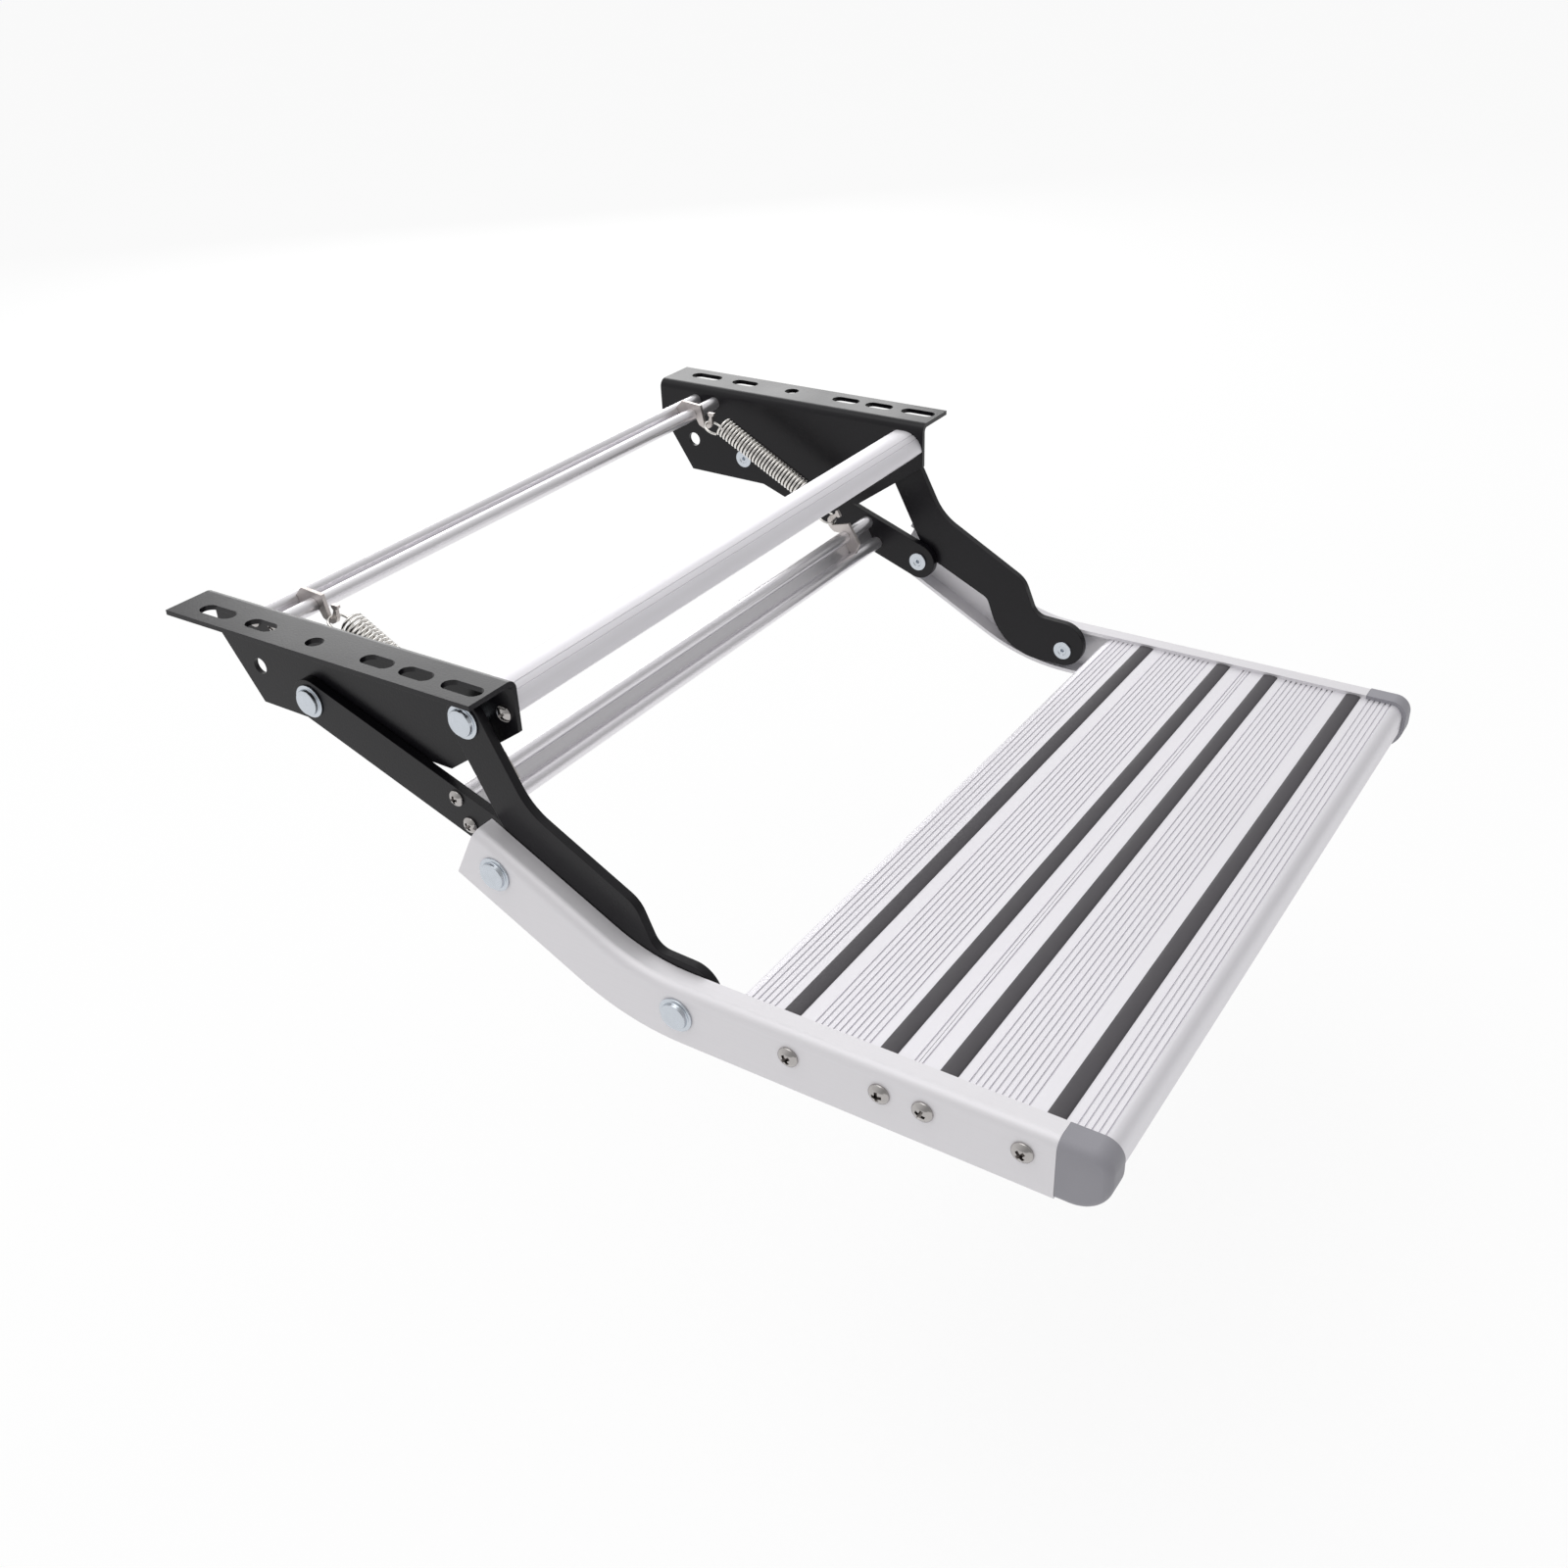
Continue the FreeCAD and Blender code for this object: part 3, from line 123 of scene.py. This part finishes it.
def soft_lamp(name, place, target, size, power):
    """A square lamp that looks at a point; a large one gives soft edges to shadows."""
    lamp = bpy.data.objects.new(name, bpy.data.lights.new(name, "AREA"))
    lamp.data.size = size
    lamp.data.energy = power
    lamp.location = place
    away = Vector(place) - Vector(target)
    lamp.rotation_euler = away.to_track_quat("Z", "Y").to_euler()
    bpy.context.scene.collection.objects.link(lamp)


STEP_MIDDLE = (0, -0.18, -0.08)
soft_lamp("back", (2.0, 1.75, 0.80), STEP_MIDDLE, 1.7, 22)
soft_lamp("overhead", (-0.45, 0.15, 2.3), STEP_MIDDLE, 2.2, 17)
print("floor", -GROUND, "m below the flanges, and two lamps")

# %% [markdown]
# A material is a graph of nodes. Written as plain sums it is easier to read, so one small class
# holds a value on its way through the graph and gives it the usual signs. Each sign adds its own
# Math node. Colours are mixed by a Mix node, since Math nodes would turn them grey.


# %% A small language for materials
class Signal:
    """A value that flows through a material's nodes."""

    def __init__(self, finish, socket):
        self.finish = finish
        self.socket = socket

    def maths(self, operation, first, second):
        return self.finish.node("ShaderNodeMath", {"operation": operation}, {0: first, 1: second})

    def __add__(self, other):
        return self.maths("ADD", self, other)

    def __radd__(self, other):
        return self.maths("ADD", other, self)

    def __sub__(self, other):
        return self.maths("SUBTRACT", self, other)

    def __rsub__(self, other):
        return self.maths("SUBTRACT", other, self)

    def __mul__(self, other):
        return self.maths("MULTIPLY", self, other)

    def __rmul__(self, other):
        return self.maths("MULTIPLY", other, self)


class Finish:
    """A material with one Principled surface, built by adding nodes one at a time."""

    def __init__(self, name, **constants):
        self.material = bpy.data.materials.new(name)
        self.material.use_nodes = True
        self.tree = self.material.node_tree
        self.tree.nodes.clear()
        self.surface = self.tree.nodes.new("ShaderNodeBsdfPrincipled")
        self.output = self.tree.nodes.new("ShaderNodeOutputMaterial")
        self.tree.links.new(self.surface.outputs[0], self.output.inputs["Surface"])
        for socket, value in constants.items():
            self.surface.inputs[socket].default_value = value

    def node(self, kind, settings=None, inputs=None, output=0):
        made = self.tree.nodes.new(kind)
        for name, value in (settings or {}).items():
            setattr(made, name, value)
        for name, value in (inputs or {}).items():
            self.feed(made.inputs[name], value)
        return Signal(self, made.outputs[output])

    def feed(self, socket, value):
        if isinstance(value, Signal):
            self.tree.links.new(value.socket, socket)
        else:
            socket.default_value = value

    def point(self, scale=(1, 1, 1)):
        """Place on the piece in metres, stretched so that a pattern runs along one axis."""
        place = self.node("ShaderNodeTexCoord", output="Object")
        return self.node("ShaderNodeMapping", {}, {"Vector": place, "Scale": scale})

    def noise(self, scale, detail=2.0, stretch=(1, 1, 1), rough=0.5):
        return self.node("ShaderNodeTexNoise", {}, {"Vector": self.point(stretch), "Scale": scale,
                                                    "Detail": detail, "Roughness": rough})

    def mixed(self, amount, first, second):
        return self.node("ShaderNodeMix", {"data_type": "RGBA"},
                         {"Factor": amount, 6: first, 7: second}, output=2)

    def spread(self, value, low, high):
        """Turns the middle of a noise, 0.3 to 0.7, into the range low to high."""
        return self.node("ShaderNodeMapRange", {}, {"Value": value, "From Min": 0.3,
                                                    "From Max": 0.7, "To Min": low,
                                                    "To Max": high})

    def colour(self, value):
        self.feed(self.surface.inputs["Base Color"], value)

    def roughness(self, value):
        self.feed(self.surface.inputs["Roughness"], value)

    def relief(self, height, depth):
        """Bumps of the given depth in metres."""
        bump = self.node("ShaderNodeBump", {}, {"Height": height, "Distance": depth,
                                                "Strength": 1.0})
        self.feed(self.surface.inputs["Normal"], bump)


def wear(finish, *names):
    """Gives a finish to pieces of the solid model."""
    for name in names:
        for slot in nodes[name].material_slots:
            slot.material = finish.material


def grey(level):
    return (level, level, level, 1)


# %% [markdown]
# The floor is matt and nearly white. A photographer lights the paper apart from the object, so
# that it comes out white. Here a share of plain white is laid over the lit floor for rays from
# the camera and from shiny faces, and the rest keeps the shadow of the step.

# %% Floor finish
paper = Finish("pale_floor", Roughness=1.0)
paper.colour(paper.mixed(paper.spread(paper.noise(3.0), 0, 1), grey(0.955), grey(0.97)))
paper.surface.inputs["Specular IOR Level"].default_value = 0.0
looks = [paper.node("ShaderNodeLightPath", output=kind)
         for kind in ("Is Camera Ray", "Is Glossy Ray", "Is Transmission Ray")]
share = (looks[0] + looks[1] + looks[2]) * 0.84
white = paper.node("ShaderNodeEmission", {}, {"Color": grey(1.0), "Strength": 1.0})
both = paper.node("ShaderNodeMixShader", {}, {0: share, 2: white})
paper.tree.links.new(paper.surface.outputs[0], both.socket.node.inputs[1])
paper.tree.links.new(both.socket, paper.output.inputs["Surface"])
floor.data.materials.append(paper.material)

# %% [markdown]
# Powder coat is a plastic powder that is baked on steel. It is almost black, has a soft gloss
# and a skin like orange peel about a millimetre across, which shows only in its highlights.

# %% Powder coat on the brackets and links
powder = Finish("black_powder_coat", Metallic=0.0, IOR=1.35)
peel = powder.noise(750.0, 2.0)
cloud = powder.noise(14.0, 3.0)
powder.colour(powder.mixed(powder.spread(cloud, 0, 1), (0.0046, 0.0041, 0.0058, 1),
                           (0.0064, 0.0057, 0.0078, 1)))
powder.roughness(powder.spread(cloud, 0.27, 0.35))
powder.relief(peel, 0.00006)
wear(powder, "left_bracket", "right_bracket", "left_front_link", "right_front_link",
     "left_rear_link", "right_rear_link")

# %% [markdown]
# Anodised extrusions are pushed through a die, so their faint lines all run one way. The planks
# and bars are lined across the step, the arms along it. The lines are made by stretching a
# noise: large steps across the lines and very small ones along them. The clear oxide skin on
# the metal scatters light, so the surface lies between bare metal and a matt paint. The two
# narrow bars have the least of it and show the brightest and the darkest lines.


# %% Satin aluminium
def satin_aluminium(name, tint, lines, low, high, metallic):
    metal = Finish(name, Metallic=metallic)
    drawn = metal.noise(1.0, 2.0, stretch=lines, rough=0.5)
    cloud = metal.noise(9.0, 2.0)
    worn = drawn * 0.5 + cloud * 0.5
    dull = tuple(channel * 0.965 for channel in tint[:3]) + (1,)
    metal.colour(metal.mixed(metal.spread(worn, 0, 1), dull, tint))
    metal.roughness(metal.spread(worn, low, high))
    metal.relief(drawn, 0.000002)
    return metal


ALONG_X = (8, 900, 900)
ALONG_Y = (900, 8, 900)
tread_metal = satin_aluminium("tread_aluminium", (0.83, 0.815, 0.85, 1), ALONG_X, 0.48, 0.56,
                              metallic=0.5)
arm_metal = satin_aluminium("arm_aluminium", (0.78, 0.765, 0.79, 1), ALONG_Y, 0.46, 0.54,
                            metallic=0.35)
bar_metal = satin_aluminium("bar_aluminium", (0.82, 0.805, 0.83, 1), ALONG_X, 0.28, 0.34,
                            metallic=0.85)
wear(tread_metal, "inner_tread_plank", "outer_tread_plank", "front_crossbar")
wear(arm_metal, "left_arm", "right_arm")
wear(bar_metal, "rear_crossbar", "lower_crossbar")

# %% [markdown]
# The grip strips are dark rubber. The end caps are moulded in grey plastic with a fine grain
# that takes the shine off them.

# %% Rubber strips and plastic caps
rubber = Finish("grip_rubber", Metallic=0.0, IOR=1.5)
bloom = rubber.noise(60.0, 3.0)
rubber.colour(rubber.mixed(rubber.spread(bloom, 0, 1), (0.054, 0.049, 0.056, 1),
                           (0.068, 0.063, 0.071, 1)))
rubber.roughness(rubber.spread(bloom, 0.55, 0.70))
rubber.relief(rubber.noise(1400.0, 1.0), 0.00004)
wear(rubber, "grip_strip_1", "grip_strip_2", "grip_strip_3", "grip_strip_4")

moulding = Finish("cap_plastic", Metallic=0.0, IOR=1.48)
moulding.colour(moulding.mixed(moulding.spread(moulding.noise(25.0), 0, 1),
                               (0.285, 0.280, 0.310, 1), (0.310, 0.305, 0.335, 1)))
moulding.roughness(moulding.spread(moulding.noise(40.0), 0.46, 0.56))
moulding.relief(moulding.noise(1600.0, 1.0), 0.00005)
wear(moulding, "left_end_cap", "right_end_cap")

# %% [markdown]
# Small steel pieces are each plated in their own way: bluish zinc on rivets and bushes, warm
# zinc on the hook plates, bright nickel on the springs, and plain stainless steel screws.


# %% Plated and stainless steel
def small_steel(name, tint, low, high):
    metal = Finish(name, Metallic=1.0)
    cloud = metal.noise(220.0, 3.0)
    dull = tuple(channel * 0.93 for channel in tint[:3]) + (1,)
    metal.colour(metal.mixed(metal.spread(cloud, 0, 1), dull, tint))
    metal.roughness(metal.spread(cloud, low, high))
    metal.relief(metal.noise(600.0, 2.0), 0.000004)
    return metal


zinc = small_steel("zinc_rivets", (0.60, 0.64, 0.69, 1), 0.20, 0.28)
hook_plate = small_steel("clip_steel", (0.62, 0.58, 0.56, 1), 0.34, 0.48)
nickel = small_steel("spring_steel", (0.80, 0.78, 0.75, 1), 0.12, 0.20)
stainless = small_steel("screw_steel", (0.46, 0.44, 0.43, 1), 0.12, 0.19)
wear(hook_plate, "left_rear_clip", "right_rear_clip", "left_lower_clip", "right_lower_clip")
wear(zinc, "rear_pivot_rivets", "front_pivot_rivets", "heel_pivot_rivets", "knee_rivet_heads",
     "knee_rivet_tails", "rear_pivot_washers", "front_pivot_bushes", "heel_pivot_bushes",
     "knee_pivot_bushes")
wear(nickel, "left_spring", "right_spring")
wear(stainless, "rear_bar_screws", "front_bar_screws", "lower_bar_screws", "tread_screws")
print(len(bpy.data.materials), "materials")

# %% [markdown]
# The rest of the script shapes what is finer than the solids. Each new piece rides on a body of
# the model, so that it moves with it, and the solid it takes the place of is hidden. Faces are
# shaded smoothly, except across edges that are sharp on the real piece.


# %% Making a piece and placing it
def mesh_from(shape, name, smooth=math.radians(35)):
    """Ends a bmesh and gives it smooth shading that breaks at real edges."""
    mesh = bpy.data.meshes.new(name)
    shape.to_mesh(mesh)
    shape.free()
    mesh.shade_smooth()
    mesh.set_sharp_from_angle(angle=smooth)
    return mesh


def add_piece(name, mesh, finish, body, *replaced):
    piece = bpy.data.objects.new(name, mesh)
    bpy.context.scene.collection.objects.link(piece)
    mesh.materials.clear()
    mesh.materials.append(finish.material)
    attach(piece, body)
    if replaced:
        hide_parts(*replaced)
    print(name, len(mesh.polygons), "faces")
    return piece


# %% [markdown]
# Plates that are cut and then painted have slightly round edges, and each edge catches a thin
# line of light. The solids have sharp edges, so each black plate is copied, its triangles are
# joined into whole faces, and its sharp edges get a narrow bevel. Smooth shading would make the
# wide faces look puffed up, so a Weighted Normal modifier lets the wide faces set the shading.


# %% Eased edges on the black plates
def eased(name, body, finish, radius):
    """A plate of the solid model with its sharp edges broken, as tumbling and paint leave them."""
    shape = bmesh.new()
    shape.from_mesh(nodes[name].data)
    bmesh.ops.remove_doubles(shape, verts=shape.verts, dist=0.005 * MM)
    bmesh.ops.dissolve_limit(shape, angle_limit=math.radians(0.5), verts=shape.verts,
                             edges=shape.edges)
    sharp = [edge for edge in shape.edges
             if edge.is_manifold and edge.calc_face_angle() > math.radians(35)]
    bmesh.ops.bevel(shape, geom=sharp, offset=radius * MM, offset_type="OFFSET", segments=2,
                    profile=0.5, affect="EDGES", clamp_overlap=True, material=-1)
    bmesh.ops.recalc_face_normals(shape, faces=shape.faces)
    piece = add_piece(name + "_eased", mesh_from(shape, name), finish, body, name)
    flat = piece.modifiers.new("flat faces stay flat", "WEIGHTED_NORMAL")
    flat.mode = "FACE_AREA"
    flat.weight = 100
    flat.keep_sharp = True


for side in ("left", "right"):
    eased(side + "_bracket", "bracket", powder, 0.5)
    eased(side + "_front_link", "front_link", powder, 0.6)
    eased(side + "_rear_link", "rear_link", powder, 0.6)

# %% [markdown]
# A grip strip is pressed into its channel and stands a little proud with a crowned top, which
# is why it looks lighter along its middle than along its edges. Its profile, half an ellipse on
# two straight sides, is drawn across the step and extruded along it.


# %% Crowned grip strips
def crowned_strip(name, steps=14):
    low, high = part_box(name)
    half = (high[1] - low[1]) / 2
    middle = (high[1] + low[1]) / 2
    crown = 1.2 * MM
    angles = [math.pi * step / steps for step in range(steps + 1)]
    outline = [(half * math.cos(angle), high[2] - crown + crown * math.sin(angle))
               for angle in angles]
    outline += [(-half, low[2]), (half, low[2])]
    shape = bmesh.new()
    end = shape.faces.new([shape.verts.new((low[0], middle + across, up))
                           for across, up in outline])
    grown = bmesh.ops.extrude_face_region(shape, geom=[end])["geom"]
    bmesh.ops.translate(shape, vec=(high[0] - low[0], 0, 0),
                        verts=[item for item in grown if isinstance(item, bmesh.types.BMVert)])
    bmesh.ops.recalc_face_normals(shape, faces=shape.faces)
    add_piece(name + "_crowned", mesh_from(shape, name), rubber, "step", name)


for number in (1, 2, 3, 4):
    crowned_strip("grip_strip_%d" % number)

# %% [markdown]
# Turned pieces such as screws and rivets are round about one line. A profile, drawn as a chain
# of points from the inner end to the outer end, is spun about the X axis, since every pivot and
# screw of the step points sideways. Points on the axis meet in one vertex once doubles are
# merged, and the normals are worked out again because a spin can turn a shape inside out.


# %% Turning a profile about X
def turn(shape, profile, steps=40):
    """Spins (along, radius) points, in millimetres, about the X axis."""
    chain = [shape.verts.new((along * MM, 0, radius * MM)) for along, radius in profile]
    links = [shape.edges.new(pair) for pair in zip(chain, chain[1:])]
    bmesh.ops.spin(shape, geom=chain + links, cent=(0, 0, 0), axis=(1, 0, 0), steps=steps,
                   angle=math.tau, use_merge=True)
    bmesh.ops.remove_doubles(shape, verts=shape.verts, dist=0.002 * MM)
    bmesh.ops.recalc_face_normals(shape, faces=shape.faces)


# %% [markdown]
# The screws are pan head screws with a cross recess. The head is a low dome with a rounded rim.
# The recess is cut by a Boolean modifier, and its cutter is two crossed bars that taper towards
# the bottom. One head is cut, then copied to every place, each turned by its own amount, because
# nobody lines up the crosses when screws are driven.


# %% Pan head screws
def copies(template, places):
    """One mesh with the template at each place; a place is (side, seat, y, z, roll)."""
    shape = bmesh.new()
    for side, seat, out, up, roll in places:
        part = template.copy()
        turned = Matrix.Rotation(roll, 4, "X")
        facing = Matrix.Rotation(math.pi if side < 0 else 0, 4, "Z")
        part.transform(Matrix.Translation((side * seat * MM, out * MM, up * MM)) @ facing @ turned)
        shape.from_mesh(part)
        bpy.data.meshes.remove(part)
    return shape


def pan_head(radius, height, shank):
    dome = [(height * (1 - 0.52 * (step / 6) ** 2.4), radius * 0.86 * step / 6)
            for step in range(7)]
    rim = [(height * 0.34, radius * 0.97), (height * 0.20, radius), (0.0, radius * 0.985)]
    shape = bmesh.new()
    turn(shape, dome + rim + [(0, shank), (-12, shank), (-12, 0)], steps=36)
    return mesh_from(shape, "screw_head")


def cross_cutter(radius, height):
    """Two crossed bars, narrower at the bottom of the recess than at its mouth."""
    shape = bmesh.new()
    for turn_by in (0, math.pi / 2):
        made = bmesh.ops.create_cube(shape, size=1.0)
        scaled = Matrix.Diagonal((height * 1.8 * MM, radius * 1.50 * MM, radius * 0.40 * MM, 1))
        bmesh.ops.transform(shape, verts=made["verts"], matrix=scaled)
        for vert in made["verts"]:
            if vert.co.x < 0:
                vert.co.y *= 0.40
                vert.co.z *= 0.60
        bmesh.ops.transform(shape, verts=made["verts"],
                            matrix=Matrix.Translation((height * 1.05 * MM, 0, 0))
                            @ Matrix.Rotation(turn_by, 4, "X"))
    mesh = bpy.data.meshes.new("cutter")
    shape.to_mesh(mesh)
    shape.free()
    return mesh


def cut_by(mesh, cutter_mesh):
    """The mesh that a Boolean modifier leaves; both helper objects are thrown away."""
    body = bpy.data.objects.new("to_cut", mesh)
    cutter = bpy.data.objects.new("cutter", cutter_mesh)
    for item in (body, cutter):
        bpy.context.scene.collection.objects.link(item)
    cut = body.modifiers.new("recess", "BOOLEAN")
    cut.operation = "DIFFERENCE"
    cut.solver = "EXACT"
    cut.use_self = True
    cut.object = cutter
    graph = bpy.context.evaluated_depsgraph_get()
    result = bpy.data.meshes.new_from_object(body.evaluated_get(graph))
    for item in (body, cutter):
        bpy.data.objects.remove(item)
    return result


def screws(name, body, places, radius, height, shank):
    template = cut_by(pan_head(radius, height, shank), cross_cutter(radius, height))
    spots = [(side, seat, out, up, 0.6 + 1.1 * number + (0.5 if side > 0 else 0))
             for side in (-1, 1) for number, (seat, out, up) in enumerate(places)]
    add_piece(name + "_detailed", mesh_from(copies(template, spots), name), stainless, body, name)


# Distances out from the middle plane to the faces that heads sit on, in millimetres.
WEB_OUTER = 218.0
LINK_OUTER = 224.0
ARM_OUTER = 245.3

# Middles of the two lobed bars as (y, z), half the distance between a bar's lobes, and the
# angle that the lower bar lies at.
REAR_BAR = (64.5, -11.3)
LOWER_BAR = (-79.1, -90.1)
LOBE_REACH = 16.8 / 2
TILT = math.radians(62.8)

# Radius and height of a head, and radius of its shank.
SMALL = (5.0, 3.0, 2.1)
LARGE = (5.8, 3.4, 2.3)
screws("rear_bar_screws", "bracket",
       [(WEB_OUTER, REAR_BAR[0] + LOBE_REACH * way, REAR_BAR[1]) for way in (-1, 1)], *SMALL)
screws("front_bar_screws", "bracket", [(WEB_OUTER, -114.6, -21.8)], *SMALL)
screws("lower_bar_screws", "rear_link",
       [(LINK_OUTER, LOWER_BAR[0] + LOBE_REACH * way * math.cos(TILT),
         LOWER_BAR[1] + LOBE_REACH * way * math.sin(TILT)) for way in (-1, 1)], *SMALL)
screws("tread_screws", "step",
       [(ARM_OUTER, out, -150.3) for out in (-302.3, -353.9, -377.5, -429.1)], *LARGE)

# %% [markdown]
# The pivots are stepped rivets: a flange lies on the plate and a flat drum stands on it, both
# with a soft edge from the heading tool. The tail is clinched over on the inner side and keeps
# the dimple of the punch, so a shallow cup with a small hole is turned into it.


# %% Pivot rivets
RIVET = 5.0
HEAD = [(3.5, 0.0), (3.5, 7.6), (1.2, 7.9), (1.2, 10.0), (0.0, 10.0), (0.0, RIVET)]


def rounded(corner, before, after, radius, steps=4):
    """Points of a small arc that takes the sharpness off a corner of a profile."""
    corner, before, after = Vector(corner), Vector(before), Vector(after)
    start = corner + (before - corner).normalized() * radius
    end = corner + (after - corner).normalized() * radius
    return [tuple(start.lerp(corner, part).lerp(corner.lerp(end, part), part))
            for part in [step / steps for step in range(steps + 1)]]


def soften(profile, radius):
    """The same profile with an arc at each inner corner; the two ends stay."""
    points = [profile[0]]
    for before, corner, after in zip(profile, profile[1:], profile[2:]):
        reach = min((Vector(corner) - Vector(before)).length,
                    (Vector(after) - Vector(corner)).length) * 0.45
        points += rounded(corner, before, after, min(radius, reach))
    return points + [profile[-1]]


def clinched(face):
    """Tail of a rivet, whose face is the given distance in from the seat of its head."""
    return [(-face, RIVET), (-face, 6.8), (-face - 1.3, 6.6), (-face - 1.3, 3.4),
            (-face - 0.8, 3.0), (-face - 0.8, 1.3), (-face + 1.5, 1.1), (-face + 1.5, 0.0)]


def rivets(name, body, seat, out, up, profile):
    shape = bmesh.new()
    turn(shape, soften(profile, 0.45), steps=56)
    template = mesh_from(shape, name)
    spots = [(side, seat, out, up, 0.0) for side in (-1, 1)]
    add_piece(name + "_detailed", mesh_from(copies(template, spots), name), zinc, body, name)


# Pivots as (y, z), then the faces under a rivet's head or tail, out from the middle plane.
REAR_PIVOT = (30.9, -50.5)
FRONT_PIVOT = (-96.3, -25.7)
HEEL = (-118.2, -105.3)
KNEE = (-233.7, -152.5)
REAR_LINK_OUTER = 224.1
WEB_INNER = 215.0
FRONT_LINK_OUTER = 230.0
REAR_LINK_INNER = 218.4
FRONT_LINK_INNER = 224.4
rivets("rear_pivot_rivets", "bracket", REAR_LINK_OUTER, *REAR_PIVOT,
       HEAD + clinched(REAR_LINK_OUTER - WEB_INNER))
rivets("front_pivot_rivets", "bracket", FRONT_LINK_OUTER, *FRONT_PIVOT,
       HEAD + [(-15.0, RIVET), (-15.0, 2.6), (-14.6, 2.2), (-14.6, 0.0)])
rivets("heel_pivot_rivets", "step", ARM_OUTER, *HEEL,
       HEAD + clinched(ARM_OUTER - REAR_LINK_INNER))

# The knee pivot is where the closed chain of links is parted, so its rivet is in two pieces.
rivets("knee_rivet_heads", "step", ARM_OUTER, *KNEE, HEAD + [(-15.3, RIVET), (-15.3, 0.0)])
rivets("knee_rivet_tails", "front_link", FRONT_LINK_INNER, *KNEE,
       [(5.5, 0.0), (5.5, RIVET)] + clinched(0.0))

# %% [markdown]
# Each spring is wound from one length of wire. The last coil at each end is folded over by a
# right angle, which makes a round loop that meets the coils on their lower side. A curve that
# follows the wire's middle line, with a round bevel, gives the whole spring as one smooth tube.
# The line is worked out along the spring, across it and above it, then laid between the hooks.


# %% Wound springs
# In millimetres: the wire's thickness, the radius of its middle line, how far each hook stands
# out from its bar and below it, and how far the hooks are from the middle plane.
WIRE = 1.8
COIL = 6.8
TURNS = 34
HOOK_REACH = 21.0
HOOK_DROP = 4.5
CLIP_PLANE = 187.0
REAR_HOOK = Vector((0, REAR_BAR[0] - HOOK_REACH, REAR_BAR[1] - HOOK_DROP))
LOWER_HOOK = Vector((0, LOWER_BAR[0] + HOOK_REACH * math.cos(TILT) + HOOK_DROP * math.sin(TILT),
                     LOWER_BAR[1] + HOOK_REACH * math.sin(TILT) - HOOK_DROP * math.cos(TILT)))


def wire_line(span):
    """Middle line of the wire as (along, across, above) points from one free end to the other."""
    fold = [math.radians(angle) for angle in range(325, 0, -15)]
    loop = [(COIL + COIL * math.cos(angle), COIL * math.sin(angle), 0) for angle in fold]
    steps = TURNS * 22
    coils = []
    for step in range(steps + 1):
        angle = -math.tau * TURNS * step / steps
        coils.append((2 * COIL + (span - 4 * COIL) * step / steps,
                      COIL * math.sin(angle), COIL - COIL * math.cos(angle)))
    far_loop = [(span - along, -across, above) for along, across, above in reversed(loop)]
    return loop + coils + far_loop


def spring(name, side):
    reach = LOWER_HOOK - REAR_HOOK
    along_way = reach.normalized()
    above_way = Vector((0, along_way.z, -along_way.y))
    line = wire_line(reach.length)
    curve = bpy.data.curves.new(name, "CURVE")
    curve.dimensions = "3D"
    curve.bevel_depth = WIRE / 2 * MM
    curve.bevel_resolution = 2
    curve.use_fill_caps = True
    run = curve.splines.new("POLY")
    run.points.add(len(line) - 1)
    for point, (along, across, above) in zip(run.points, line):
        place = REAR_HOOK + along_way * along + above_way * above
        place.x = side * CLIP_PLANE + across
        point.co = (*(place * MM), 1)
    holder = bpy.data.objects.new(name, curve)
    bpy.context.scene.collection.objects.link(holder)
    graph = bpy.context.evaluated_depsgraph_get()
    mesh = bpy.data.meshes.new_from_object(holder.evaluated_get(graph))
    bpy.data.objects.remove(holder)
    mesh.shade_smooth()
    add_piece(name + "_wound", mesh, nickel, "springs", name)


spring("left_spring", -1)
spring("right_spring", 1)
